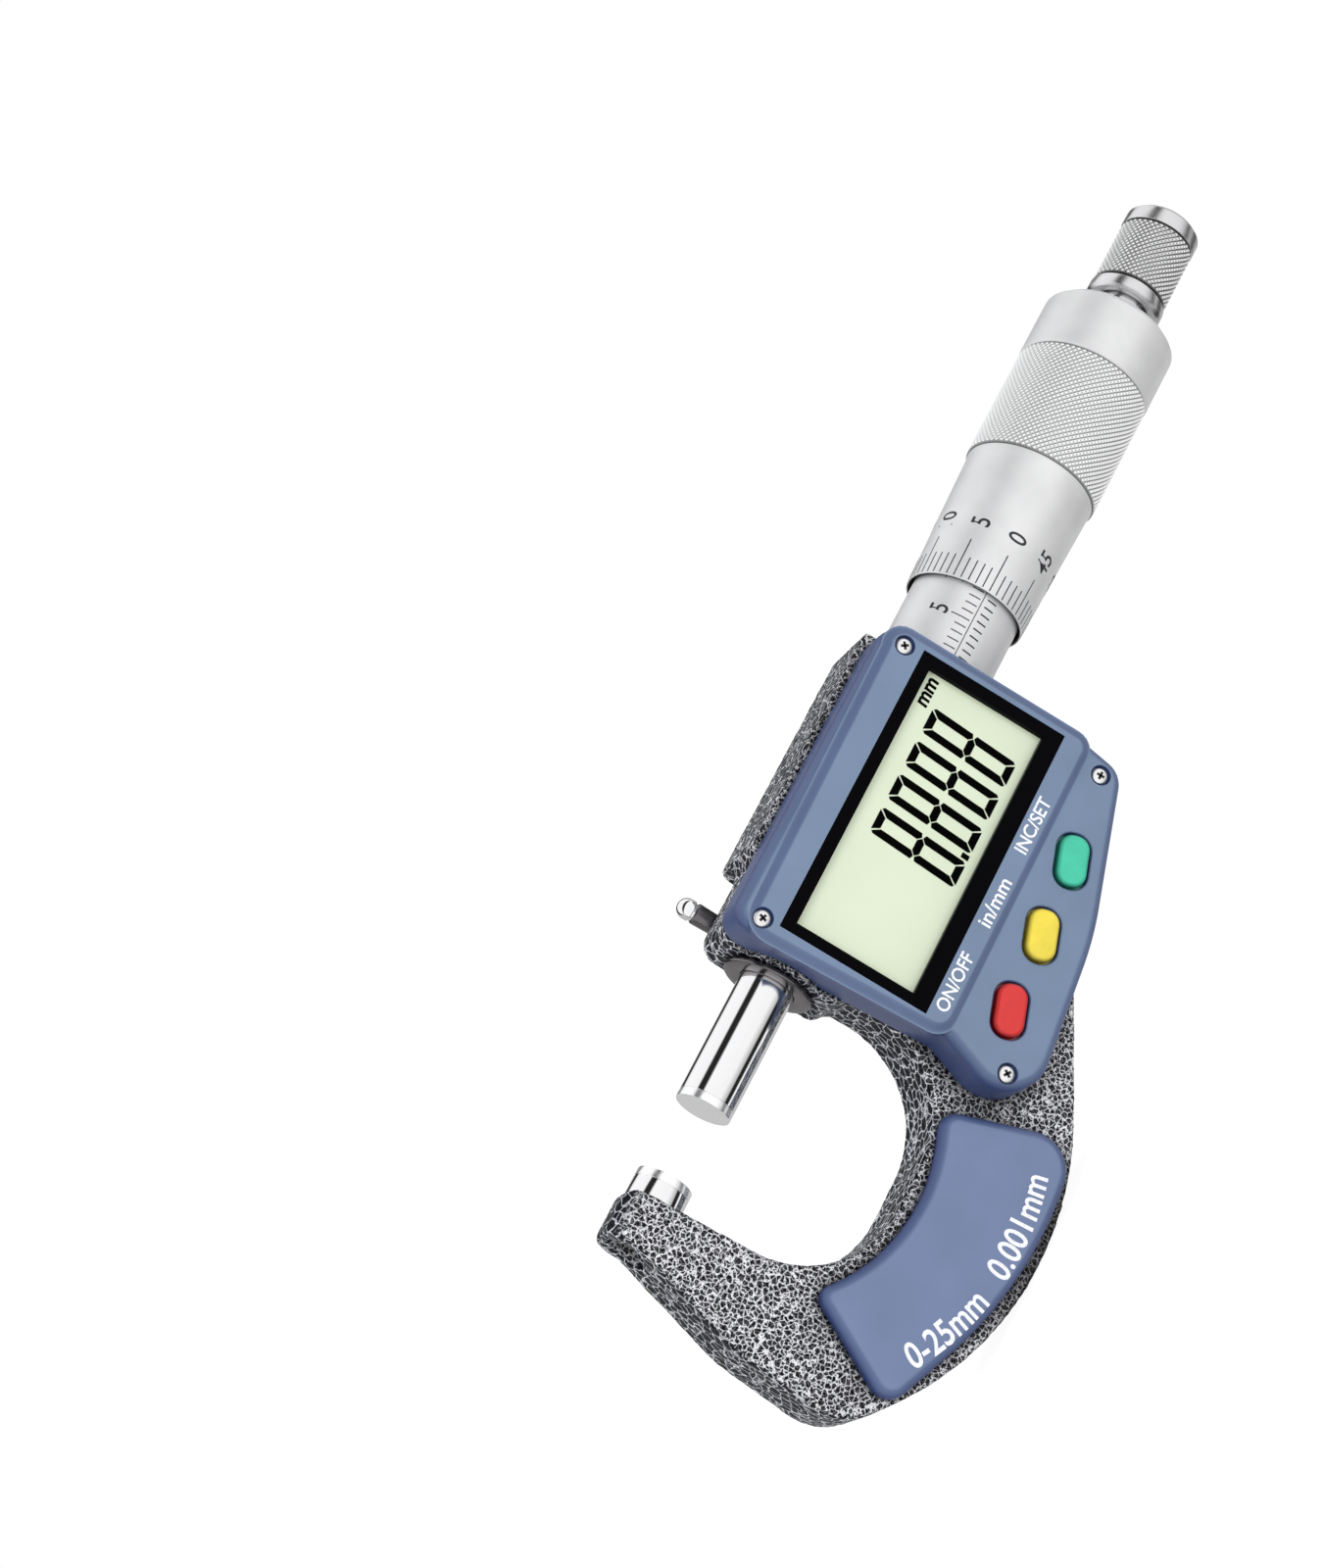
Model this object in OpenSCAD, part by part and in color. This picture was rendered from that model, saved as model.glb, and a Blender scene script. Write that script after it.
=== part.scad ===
// Outside micrometer with a digital display, 0 to 25 mm, screw pitch 0.5 mm.
// Frame: origin at the centre of the anvil's measuring face, +X along the spindle
// towards the ratchet, +Y towards the back of the frame, +Z up to the lock lever.

/* [Measuring] */
// Opening between the two measuring faces, as drawn
opening = 9; // [0:0.5:25]
// Diameter of the anvil and of the spindle
spindle_d = 6.5; // [6.3:0.05:6.6]
// Thickness of the carbide tips
tip_t = 1; // [0.6:0.1:1.4]

/* [Frame] */
// Thickness of the cast bow
frame_t = 9; // [8.6:0.1:10]
// Half height of the barrel that holds the encoder
barrel_h = 9.4; // [9.2:0.1:10]
// Reach of the barrel behind the spindle axis
barrel_back = 9.2; // [9:0.1:10]
// Thickness of each insulating grip plate
grip_t = 1.8; // [1:0.1:2.4]

/* [Sleeve and thimble] */
// Position of the sleeve's zero line
zero_x = 67.7; // [67.4:0.1:68.4]
// Outer diameter of the graduated sleeve
sleeve_d = 13.2; // [13:0.1:13.4]
// Outer diameter of the thimble at its bevelled rim
rim_d = 14.5; // [14.3:0.1:14.9]
// Outer diameter of the thimble's knurled band
thimble_d = 16.6; // [16.2:0.1:17.2]
// Length of the thimble
thimble_l = 42.3; // [42.2:0.1:43]
// Outer diameter of the ratchet knob
ratchet_d = 9.4; // [9.2:0.1:10]

/* [Display] */
// Depth of the display housing in front of the frame
housing_t = 6.5; // [6.3:0.1:7]
// Wall thickness of the display housing
wall = 1.2; // [1:0.1:1.4]
// Length of the display lens
lens_l = 36.8; // [36:0.1:37]
// Height of the display lens
lens_h = 18.4; // [17.8:0.1:18.6]
// Travel of a push button
button_travel = 0.45; // [0.3:0.05:0.5]

/* [Hidden] */
$fn = 64;
EPS = 0.1;            // overshoot that makes a cut pass cleanly through
RUN = 0.05;           // radial clearance of a running shaft
SLIP = 0.1;           // clearance between parts that only sit together

face_y = -frame_t / 2;                 // front face of the frame
back_y = frame_t / 2;                  // back face of the bow
front_y = face_y - housing_t;          // front face of the display housing
lobe_y = front_y + 0.6;                // front face of the button lobe
board_y = front_y + 3.2;               // front face of the circuit board
flange_y = lobe_y + 1.05;              // front of the flange that holds a button in
flange_t = 0.35;
spindle_r = spindle_d / 2;
boss_x = -3.3;                         // shoulder of the boss that holds the anvil
boss_z = 3.6;                          // top of that boss
stem_r = 2.4;                          // stem of the anvil inside the boss
nose_x = 25.5;                         // nose of the frame, where the spindle comes out
head_x = 66;                           // far end of the frame's barrel
pocket = [50, 60.6];                   // encoder pocket along the spindle
pocket_r = 7.6;
nut_x = 92;                            // start of the thread inside the inner sleeve
inner_end_x = 105;                     // far end of the inner sleeve
shoulder_x = zero_x + thimble_l - 3.4; // spindle shoulder that seats the thimble
thimble_end_x = zero_x + thimble_l;
lock_pos = [30.1, 4.95];               // axis of the lock shaft, as x and z
lock_r = 1.4;
battery_pos = [49, -17.6];             // centre of the battery, as x and z
lens_pos = [46, -5.6];                 // centre of the display lens, as x and z
screw_pos = [[27.4, 5.6], [63.7, 5.8], [62.6, -20.3], [26.4, -25.6]];
screw_seat = [front_y, front_y, lobe_y, lobe_y];
screw_r = 0.7;
button_pos = [[33, -23.3], [42.5, -22.8], [52, -22.2]];
button_turn = 20;                      // lean of each button from the spindle axis
button_l = 6.2;
button_w = 3.8;

// corners of each outline, counter-clockwise, as [x, z, corner radius]
FRAME_OUTLINE = [
    [-8.9, boss_z, 0.8], [-8.9, 0, 2], [-13.3, -14.5, 14], [-14.6, -28, 7],
    [8.4, -46, 36.4], [45.5, -28.3, 10],
    [64.2, -21.7, 2.4], [65.2, barrel_h, 1], [36.6, barrel_h, 1], [35.2, 8, 1],
    [nose_x, 8, 2.2], [nose_x, -6.8, 1.2], [27.2, -8.2, 1.5],
    [27.2, -23.2, 12.4], [-2.55, -23.2, 12.4], [boss_x, boss_z, 0.8]
];
HOUSING_OUTLINE = [
    [25.6, 8.7, 2.6], [26.9, -18.2, 3], [22.2, -30.6, 5.2], [46, -28.3, 40],
    [64.9, -22.9, 3], [65.8, -17.6, 2], [65.8, 8.7, 2.6]
];
GRIP_OUTLINE = [
    [-3.7, -18.6, 1.5], [-10.9, -31.1, 2.4], [8.4, -39.2, 47],
    [26.2, -37.7, 4.2], [21.1, -22.3, 2], [7, -27.3, 21]
];
BARREL_SECTION = [
    [face_y, barrel_h, 0.6], [face_y, -barrel_h, 0.6],
    [barrel_back, -barrel_h, 2.2], [barrel_back, barrel_h, 2.2]
];

// ---- outline functions ----

function xz(p) = [p[0], p[1]];
function unit(v) = v / norm(v);
function left_of(v) = [-v[1], v[0]];
function before(c, i) = c[(i + len(c) - 1) % len(c)];
function after(c, i) = c[(i + 1) % len(c)];

// arc of radius r that rounds the corner p between its neighbours a and b
function corner_arc(a, p, b, r, steps) =
    let (u = unit(a - p), v = unit(b - p),
         half = acos(max(-1, min(1, u * v))) / 2,
         c = p + unit(u + v) * r / sin(half),
         t0 = p + u * r / tan(half) - c,
         t1 = p + v * r / tan(half) - c,
         a0 = atan2(t0[1], t0[0]),
         turn = ((atan2(t1[1], t1[0]) - a0 + 540) % 360) - 180)
    [for (k = [0 : steps]) c + r * [cos(a0 + turn * k / steps), sin(a0 + turn * k / steps)]];

function arc_steps(r) = r > 20 ? 24 : r > 4 ? 12 : 5;

// outline with every corner rounded by its own radius
function rounded(c) =
    [for (i = [0 : len(c) - 1])
        for (q = corner_arc(xz(before(c, i)), xz(c[i]), xz(after(c, i)), c[i][2],
                            arc_steps(c[i][2]))) q];

// the same outline moved inwards by w, with its corner radii kept concentric
function inset(c, w) =
    [for (i = [0 : len(c) - 1])
        let (e0 = unit(xz(c[i]) - xz(before(c, i))), e1 = unit(xz(after(c, i)) - xz(c[i])),
             n0 = left_of(e0), n1 = left_of(e1),
             p = xz(c[i]) + w * (n0 + n1) / (1 + n0 * n1),
             bend = cross(e0, e1) > 0 ? -w : w)
        [p[0], p[1], max(0.3, c[i][2] + bend)]];

// ---- shared shapes ----

// a flat piece drawn as x, z and filling y0 to y1
module slab(y0, y1) {
    translate([0, y1, 0]) rotate([90, 0, 0]) linear_extrude(y1 - y0) children();
}

// a prism drawn as y, z and filling x0 to x1
module prism_x(x0, x1) {
    translate([x0, 0, 0]) rotate([90, 0, 90]) linear_extrude(x1 - x0) children();
}

// a cylinder on the spindle axis, or a cone when r1 is given
module rod(x0, x1, r, r1 = undef) {
    translate([x0, 0, 0]) rotate([0, 90, 0])
        cylinder(h = x1 - x0, r1 = r, r2 = is_undef(r1) ? r : r1);
}

// a cylinder parallel to Y at [x, z]
module pin_y(p, y0, y1, r) {
    translate([p[0], y1, p[1]]) rotate([90, 0, 0]) cylinder(h = y1 - y0, r = r);
}

module tube(x0, x1, r_out, r_in) {
    difference() {
        rod(x0, x1, r_out);
        rod(x0 - EPS, x1 + EPS, r_in);
    }
}

// a box from its low corner to its high corner
module block(low, high) {
    translate(low) cube(high - low);
}

// a capsule outline of length l and width w
module capsule(l, w) {
    square([l - w, w], center = true);
    for (s = [-1, 1]) translate([s * (l - w) / 2, 0]) circle(d = w);
}

// everything that moves with the spindle is drawn closed, then opened
module at_opening() {
    translate([opening, 0, 0]) children();
}

module steel() { color([0.78, 0.79, 0.81]) children(); }
module satin() { color([0.84, 0.84, 0.86]) children(); }
module carbide() { color([0.55, 0.56, 0.58]) children(); }
module brass_part() { color([0.75, 0.62, 0.32]) children(); }

// ---- frame group ----

module frame() {
    color([0.47, 0.47, 0.52])
    difference() {
        union() {
            slab(face_y, back_y) polygon(rounded(FRAME_OUTLINE));
            prism_x(36.6, head_x) polygon(rounded(BARREL_SECTION));
            rod(nose_x, 40, 6.2);
        }
        boss_rounding();
        rod(-20, 0, stem_r + 0.01);
        rod(nose_x - EPS, 37, 4.4);
        rod(36, pocket[0] + 1, 4);
        rod(pocket[0], pocket[1], pocket_r);
        block([pocket[0], face_y - EPS, -pocket_r], [pocket[1], 0, pocket_r]);
        rod(pocket[1] - EPS, head_x + EPS, 5.2);
        pin_y(lock_pos, -3.2, 20, lock_r + RUN);
        pin_y(lock_pos, back_y, 20, 3);
        pin_y(battery_pos, face_y - EPS, back_y + EPS, 7.4);
        for (i = [0 : 3]) pin_y(screw_pos[i], face_y - EPS, screw_seat[i] + 8.4, screw_r + RUN);
    }
}

// takes the upper edges off the boss that holds the anvil
module boss_rounding() {
    r = 3.2;
    for (side = [-1, 1]) difference() {
        translate([-12, side > 0 ? back_y - r : face_y - EPS, boss_z - r]) cube([11, r + EPS, r + EPS]);
        translate([-13, side * (back_y - r), boss_z - r]) rotate([0, 90, 0]) cylinder(h = 13, r = r);
    }
}

module anvil() {
    steel() {
        rod(boss_x + 0.3, -tip_t, spindle_r);
        rod(-8, boss_x + 0.4, stem_r);
    }
}

module anvil_tip() {
    carbide() rod(-tip_t, 0, spindle_r);
}

module nose_bush() {
    color([0.3, 0.3, 0.33])
    difference() {
        union() {
            rod(nose_x - 0.7, nose_x, 5.3);
            rod(nose_x, 36.8, 4.35);
        }
        rod(nose_x - 1, 37, spindle_r + RUN);
        pin_y(lock_pos, -10, 10, lock_r + SLIP);
    }
}

module inner_sleeve() {
    slit = 0.5;
    steel()
    difference() {
        union() {
            rod(61.4, head_x, 5.15);
            rod(head_x, 98, 5.9);
            rod(98, inner_end_x, 5.6);
        }
        rod(61, nut_x, 4);
        rod(nut_x - EPS, inner_end_x + EPS, spindle_r + RUN);
        for (a = [0, 120, 240]) rotate([a, 0, 0])
            block([97, -slit / 2, 0], [inner_end_x + EPS, slit / 2, 8]);
    }
}

module graduated_sleeve() {
    satin() tube(head_x, 97.8, sleeve_d / 2, 5.95);
}

module adjusting_nut() {
    steel() tube(98.4, inner_end_x - 0.5, 6.4, 5.65);
}

module encoder_stator() {
    color([0.1, 0.4, 0.22])
    difference() {
        union() {
            rod(51, 52.2, 6.9);
            block([51, -7, -2.6], [52.2, 0, 2.6]);
        }
        rod(50, 53, 4.2);
    }
}

// ---- encoder rotor group ----

module encoder_rotor() {
    color([0.16, 0.45, 0.28]) tube(53, 54, 6.8, 4.6);
}

module rotor_hub() {
    brass_part()
    difference() {
        union() {
            rod(52.8, 54, 4.55);
            rod(54, 59, 5.6);
        }
        rod(50, 60, spindle_r + RUN);
        rotor_key_shape();
    }
}

module rotor_key_shape() {
    block([55, spindle_r - 0.5, -0.45], [58, spindle_r + 1.2, 0.45]);
}

module rotor_key() {
    steel() rotor_key_shape();
}

module rotor_washer() {
    brass_part() tube(59.2, 60.4, 5.8, 4);
}

// ---- spindle group, drawn with the measuring faces closed ----

module spindle() {
    slot = [30, 60];
    steel() at_opening()
    difference() {
        union() {
            rod(tip_t, shoulder_x, spindle_r);
            rod(shoulder_x, thimble_end_x - 0.1, 2.5);
        }
        block([slot[0], spindle_r - 0.6, -0.5], [slot[1], spindle_r + 1, 0.5]);
        rod(shoulder_x - 5, thimble_end_x + 1, 1.05);
        translate([62, 0, 0]) thread_relief();
    }
}

// shallow groove between the plain spindle and its thread
module thread_relief() {
    difference() {
        rod(0, 2, spindle_r + 1);
        rod(-EPS, 2 + EPS, spindle_r - 0.4);
    }
}

module spindle_tip() {
    carbide() at_opening() rod(0, tip_t, spindle_r);
}

module thimble() {
    cone_l = 17.6;
    knurl = [18.5, 33.7];
    knurl_r = thimble_d / 2;
    satin() at_opening() translate([zero_x, 0, 0])
    difference() {
        rotate([90, 0, 90]) rotate_extrude()
            polygon([
                [0, 0], [rim_d / 2, 0], [thimble_d / 2 - 0.4, cone_l],
                [knurl_r, knurl[0]], [knurl_r, knurl[1]],
                [thimble_d / 2, thimble_l - 0.8], [thimble_d / 2 - 0.8, thimble_l],
                [0, thimble_l]
            ]);
        rod(-EPS, thimble_l - 3.4, sleeve_d / 2 + 0.12);
        rod(0, thimble_l + EPS, 2.52);
    }
}

module ratchet_hub() {
    steel() at_opening()
    difference() {
        union() {
            rod(thimble_end_x, thimble_end_x + 3, 3.3);
            rod(thimble_end_x + 3, thimble_end_x + 4.9, 2.6);
            rod(thimble_end_x + 4.9, thimble_end_x + 6.2, 3.7);
            ratchet_teeth(thimble_end_x + 6.2, 0);
        }
        rod(thimble_end_x - EPS, thimble_end_x + 8, 1.05);
    }
}

// ring of face teeth that stand 0.4 mm out of a disc at x
module ratchet_teeth(x, turn) {
    teeth = 12;
    for (i = [0 : teeth - 1]) rotate([turn + i * 360 / teeth, 0, 0])
        block([x - 0.05, 2.5, -0.3], [x + 0.4, 3.6, 0.3]);
}

module ratchet_screw() {
    steel() at_opening()
    difference() {
        union() {
            rod(shoulder_x - 4, thimble_end_x + 6.3, 1);
            rod(thimble_end_x + 6.3, thimble_end_x + 7.6, 1.9);
        }
        block([thimble_end_x + 7, -0.25, -2], [thimble_end_x + 8, 0.25, 2]);
    }
}

// ---- ratchet group ----

module ratchet_knob() {
    x0 = thimble_end_x + 3.3;
    r = ratchet_d / 2;
    steel() at_opening()
    difference() {
        union() {
            rod(x0, x0 + 0.4, r - 0.3, r + 0.1);
            rod(x0 + 0.4, x0 + 1.7, r + 0.1);
            rod(x0 + 1.7, x0 + 2.1, r - 0.35);
            rod(x0 + 2.1, x0 + 10.6, r);
        }
        rod(x0 - EPS, x0 + 2, 2.65);
        rod(x0 + 1.4, x0 + 11, 4.05);
    }
}

module ratchet_end_cap() {
    x0 = thimble_end_x + 13.9;
    r = ratchet_d / 2;
    steel() at_opening() {
        rod(x0 - 2, x0 + 0.3, 4);
        rod(x0 + 0.05, x0 + 1.9, r);
        rod(x0 + 1.9, x0 + 2.5, r, r - 0.6);
    }
}

module click_plate() {
    x0 = thimble_end_x + 7.1;
    steel() at_opening()
    difference() {
        union() {
            rod(x0, x0 + 1, 3.9);
            ratchet_teeth_back(x0);
        }
        rod(x0 - 1, x0 + 2, 2.1);
    }
}

// the teeth of the click plate point back at the hub and sit between its teeth
module ratchet_teeth_back(x) {
    teeth = 12;
    for (i = [0 : teeth - 1]) rotate([15 + i * 360 / teeth, 0, 0])
        block([x - 0.35, 2.5, -0.3], [x + 0.05, 3.6, 0.3]);
}

// a coil of flat wire: a sector of a ring, swept up and round
module ratchet_spring() {
    turns = 4;
    length = 3.7;
    inner_r = 2.9;
    outer_r = 3.4;
    sector = [for (a = [0 : 20 : 140]) outer_r * [cos(a), sin(a)]];
    back = [for (a = [140 : -20 : 0]) inner_r * [cos(a), sin(a)]];
    steel() at_opening() translate([thimble_end_x + 8.15, 0, 0]) rotate([0, 90, 0])
        linear_extrude(height = length, twist = 360 * turns, slices = 12 * turns)
            polygon(concat(sector, back));
}

// ---- spindle lock ----

module lock_shaft() {
    flat_depth = 0.35;
    steel() difference() {
        pin_y(lock_pos, -3.1, 6.6, lock_r);
        block([lock_pos[0] - 3, -3.2, lock_pos[1] - lock_r - 1],
              [lock_pos[0] + 3, 3.1, lock_pos[1] - lock_r + flat_depth]);
    }
}

module lock_lever() {
    hub_r = 2.6;
    arm_r = 1.25;
    arm_foot = lock_pos[1] + 1.4;
    arm_top = 12.3 - arm_r;
    arm_y = 5.8;
    color([0.35, 0.35, 0.37])
    difference() {
        union() {
            pin_y(lock_pos, 4.7, 6.9, hub_r);
            translate([lock_pos[0], arm_y, arm_foot]) cylinder(h = arm_top - arm_foot, r = arm_r);
            translate([lock_pos[0], arm_y, arm_top]) sphere(r = arm_r);
        }
        pin_y(lock_pos, 4, 6.6, lock_r);
        pin_y(lock_pos, 4, 8, 0.5);
    }
}

module lock_lever_screw() {
    steel() difference() {
        union() {
            pin_y(lock_pos, 6.9, 7.5, 1.2);
            pin_y(lock_pos, 6.6, 7, 0.5);
        }
        block([lock_pos[0] - 2, 7.2, lock_pos[1] - 0.15], [lock_pos[0] + 2, 8, lock_pos[1] + 0.15]);
    }
}

// ---- display group ----

module display_housing() {
    post_r = 1.5;
    fold_z = -17.6;
    color([0.42, 0.5, 0.68])
    difference() {
        union() {
            difference() {
                slab(front_y, face_y) polygon(rounded(HOUSING_OUTLINE));
                block([0, front_y - 1, -60], [80, lobe_y, fold_z]);
                slab(lobe_y + 1, face_y + EPS) polygon(rounded(inset(HOUSING_OUTLINE, wall)));
            }
            for (i = [0 : 3]) pin_y(screw_pos[i], lobe_y, face_y, post_r);
        }
        block([lens_pos[0] - lens_l / 2 - 0.05, front_y - 1, lens_pos[1] - lens_h / 2 - 0.05],
              [lens_pos[0] + lens_l / 2 + 0.05, face_y, lens_pos[1] + lens_h / 2 + 0.05]);
        for (p = button_pos) slab(front_y - 1, lobe_y + 2)
            translate(p) rotate(button_turn) capsule(button_l + 0.5, button_w + 0.5);
        for (i = [0 : 3]) {
            pin_y(screw_pos[i], front_y - 1, face_y + 1, screw_r + SLIP);
            pin_y(screw_pos[i], front_y - 1, screw_seat[i] + 0.8, 1.35);
        }
        rod(nose_x - 2, 41, 6.5);
        rod(pocket[1], head_x + 1, 5.3);
    }
}

module display_lens() {
    color([0.05, 0.05, 0.06])
    block([lens_pos[0] - lens_l / 2, front_y, lens_pos[1] - lens_h / 2],
          [lens_pos[0] + lens_l / 2, front_y + 0.9, lens_pos[1] + lens_h / 2]);
}

module lcd_panel() {
    margin = 0.6;
    color([0.87, 0.91, 0.8])
    block([lens_pos[0] - lens_l / 2 + margin, front_y + 0.95, lens_pos[1] - lens_h / 2 + margin],
          [lens_pos[0] + lens_l / 2 - margin, front_y + 2.6, lens_pos[1] + lens_h / 2 - margin]);
}

module lcd_connector() {
    color([0.85, 0.55, 0.6])
    for (z = [lens_pos[1] - 7.6, lens_pos[1] + 5.8])
        block([lens_pos[0] - 14, front_y + 2.6, z], [lens_pos[0] + 14, board_y, z + 1.6]);
}

module circuit_board() {
    color([0.08, 0.38, 0.2])
    difference() {
        slab(board_y, board_y + 0.7) polygon(rounded(inset(HOUSING_OUTLINE, wall + 0.4)));
        for (p = screw_pos) pin_y(p, front_y, face_y, 1.7);
    }
}

module keypad_membrane() {
    color([0.75, 0.75, 0.72])
    slab(flange_y + flange_t + button_travel + 0.1, board_y) polygon([
        [29, -19.4], [29, -26.6], [42, -26.2], [56.4, -23.6], [56.4, -18.6]
    ]);
}

// a button cap whose flange stays behind the housing's front wall
module button_cap(p) {
    slab(lobe_y - 0.6, flange_y) translate(p) rotate(button_turn) capsule(button_l, button_w);
    slab(flange_y, flange_y + flange_t) translate(p) rotate(button_turn)
        capsule(button_l + 1.2, button_w + 1.2);
}

module power_button() { color([0.87, 0.2, 0.18]) button_cap(button_pos[0]); }
module units_button() { color([0.94, 0.83, 0.22]) button_cap(button_pos[1]); }
module set_button() { color([0.2, 0.76, 0.6]) button_cap(button_pos[2]); }

module housing_screws() {
    head_r = 1.25;
    steel() for (i = [0 : 3]) difference() {
        union() {
            pin_y(screw_pos[i], screw_seat[i] + 0.05, screw_seat[i] + 0.8, head_r);
            pin_y(screw_pos[i], screw_seat[i] + 0.8, screw_seat[i] + 8.2, screw_r);
        }
        for (a = [0, 90]) translate([screw_pos[i][0], screw_seat[i], screw_pos[i][1]]) rotate([0, a, 0])
            cube([1.5, 0.9, 0.35], center = true);
    }
}

// ---- battery ----

module battery_holder() {
    color([0.12, 0.12, 0.13])
    difference() {
        pin_y(battery_pos, face_y, 2.3, 7.35);
        pin_y(battery_pos, face_y + 0.6, 3, 5.95);
        pin_y(battery_pos, face_y - 1, 3, 1.5);
    }
}

module battery_cell() {
    color([0.8, 0.8, 0.82]) {
        pin_y(battery_pos, -3.3, 1.7, 5.8);
        pin_y(battery_pos, -3.7, -3.3, 4.6);
    }
}

module battery_contact() {
    brass_part() {
        pin_y(battery_pos, front_y + 3.9, -3.7, 0.5);
        pin_y(battery_pos, front_y + 3.9, front_y + 4.2, 2.2);
    }
}

module battery_cap() {
    color([0.2, 0.21, 0.24])
    difference() {
        union() {
            pin_y(battery_pos, 2.4, back_y, 7.3);
            pin_y(battery_pos, back_y, back_y + 0.5, 7);
        }
        block([battery_pos[0] - 4.5, back_y - 0.5, battery_pos[1] - 0.75],
              [battery_pos[0] + 4.5, back_y + 1, battery_pos[1] + 0.75]);
    }
}

// ---- grips ----

module grip_plate(y0, y1) {
    color([0.4, 0.49, 0.67]) slab(y0, y1) polygon(rounded(GRIP_OUTLINE));
}

module front_grip_plate() { grip_plate(face_y - grip_t, face_y); }
module rear_grip_plate() { grip_plate(back_y, back_y + grip_t); }

frame();
anvil();
anvil_tip();
nose_bush();
inner_sleeve();
graduated_sleeve();
adjusting_nut();
encoder_stator();
encoder_rotor();
rotor_hub();
rotor_key();
rotor_washer();
spindle();
spindle_tip();
thimble();
ratchet_hub();
ratchet_screw();
ratchet_knob();
ratchet_end_cap();
ratchet_spring();
click_plate();
lock_shaft();
lock_lever();
lock_lever_screw();
display_housing();
display_lens();
lcd_panel();
lcd_connector();
circuit_board();
keypad_membrane();
power_button();
units_button();
set_button();
housing_screws();
battery_holder();
battery_cell();
battery_contact();
battery_cap();
front_grip_plate();
rear_grip_plate();
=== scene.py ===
"""The looks of the outside micrometer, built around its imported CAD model.

Lengths are in millimetres in the model's own frame: the origin is the centre of the anvil's
measuring face, +X runs along the spindle to the ratchet, the display looks along -Y and +Z
is up to the lock lever. piece() turns a finished mesh into metres and lets it ride.
"""
import math

import bmesh
import bpy
from mathutils import Matrix, Vector

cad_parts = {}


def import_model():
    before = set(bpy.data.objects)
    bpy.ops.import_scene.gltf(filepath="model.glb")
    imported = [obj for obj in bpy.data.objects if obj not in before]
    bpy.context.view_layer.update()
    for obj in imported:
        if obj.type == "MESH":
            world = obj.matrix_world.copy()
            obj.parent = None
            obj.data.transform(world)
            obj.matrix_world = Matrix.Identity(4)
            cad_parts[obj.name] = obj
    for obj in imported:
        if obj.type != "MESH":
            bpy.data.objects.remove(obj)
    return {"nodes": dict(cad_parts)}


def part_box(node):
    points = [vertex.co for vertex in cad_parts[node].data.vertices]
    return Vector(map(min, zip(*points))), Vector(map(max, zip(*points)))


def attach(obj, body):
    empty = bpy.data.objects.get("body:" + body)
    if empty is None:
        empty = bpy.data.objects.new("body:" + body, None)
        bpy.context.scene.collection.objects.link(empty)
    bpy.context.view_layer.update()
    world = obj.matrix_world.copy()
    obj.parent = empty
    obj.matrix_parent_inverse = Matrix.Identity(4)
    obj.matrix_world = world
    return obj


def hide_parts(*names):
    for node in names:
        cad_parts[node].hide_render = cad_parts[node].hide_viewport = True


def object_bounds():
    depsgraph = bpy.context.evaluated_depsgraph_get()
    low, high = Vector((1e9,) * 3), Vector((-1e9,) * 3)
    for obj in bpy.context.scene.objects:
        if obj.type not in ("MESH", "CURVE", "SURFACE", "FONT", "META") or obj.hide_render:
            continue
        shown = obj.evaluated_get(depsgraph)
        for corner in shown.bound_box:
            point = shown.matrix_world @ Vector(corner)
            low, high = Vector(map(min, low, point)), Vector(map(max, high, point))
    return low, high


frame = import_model()
cad_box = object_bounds()

MM = 0.001
SMOOTH_ANGLE = math.radians(32)

# ---- places that the CAD model gives ----


def box(node):
    """Lowest and highest corner of a CAD node, in millimetres."""
    low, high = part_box(node)
    return low / MM, high / MM


def middle(node):
    low, high = box(node)
    return (low + high) / 2


SPINDLE_R = box("anvil")[1].z
FACE_Y = box("front_grip_plate")[1].y        # front face of the casting
BACK_Y = box("rear_grip_plate")[0].y         # back face of the casting
FRONT_Y = box("display_housing")[0].y        # front of the raised display panel
LOBE_Y = FRONT_Y + 0.6                       # front of the shoulder and the button lobe
LENS_LOW, LENS_HIGH = box("display_lens")
LCD_Y = box("lcd_panel")[0].y
RIM_X = box("thimble")[0].x                  # bevelled rim of the thimble
THIMBLE_END = box("thimble")[1].x
THIMBLE_R = box("thimble")[1].z
RIM_R = 7.25                                 # radius of that rim
CONE_L = 17.6                                # length of the thimble's cone
END_WALL = 3.4                               # thickness of the thimble's closed end
SLEEVE_R = box("graduated_sleeve")[1].z
ZERO_X = RIM_X - box("spindle_tip")[0].x     # zero line of the sleeve
KNOB_LOW, KNOB_HIGH = box("ratchet_knob")
CAP_LOW, CAP_HIGH = box("ratchet_end_cap")
INDEX_ANGLE = math.radians(-3)               # index line, from -Y towards -Z
STEM_R = 2.4                                 # stem of the anvil inside its boss
BOSS_X = -3.3                                # shoulder of that boss
LOCK = middle("lock_shaft")
BATTERY = middle("battery_cap")
SEAT_R = 4.33                                # body of the nose bush, inside the casting

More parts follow.
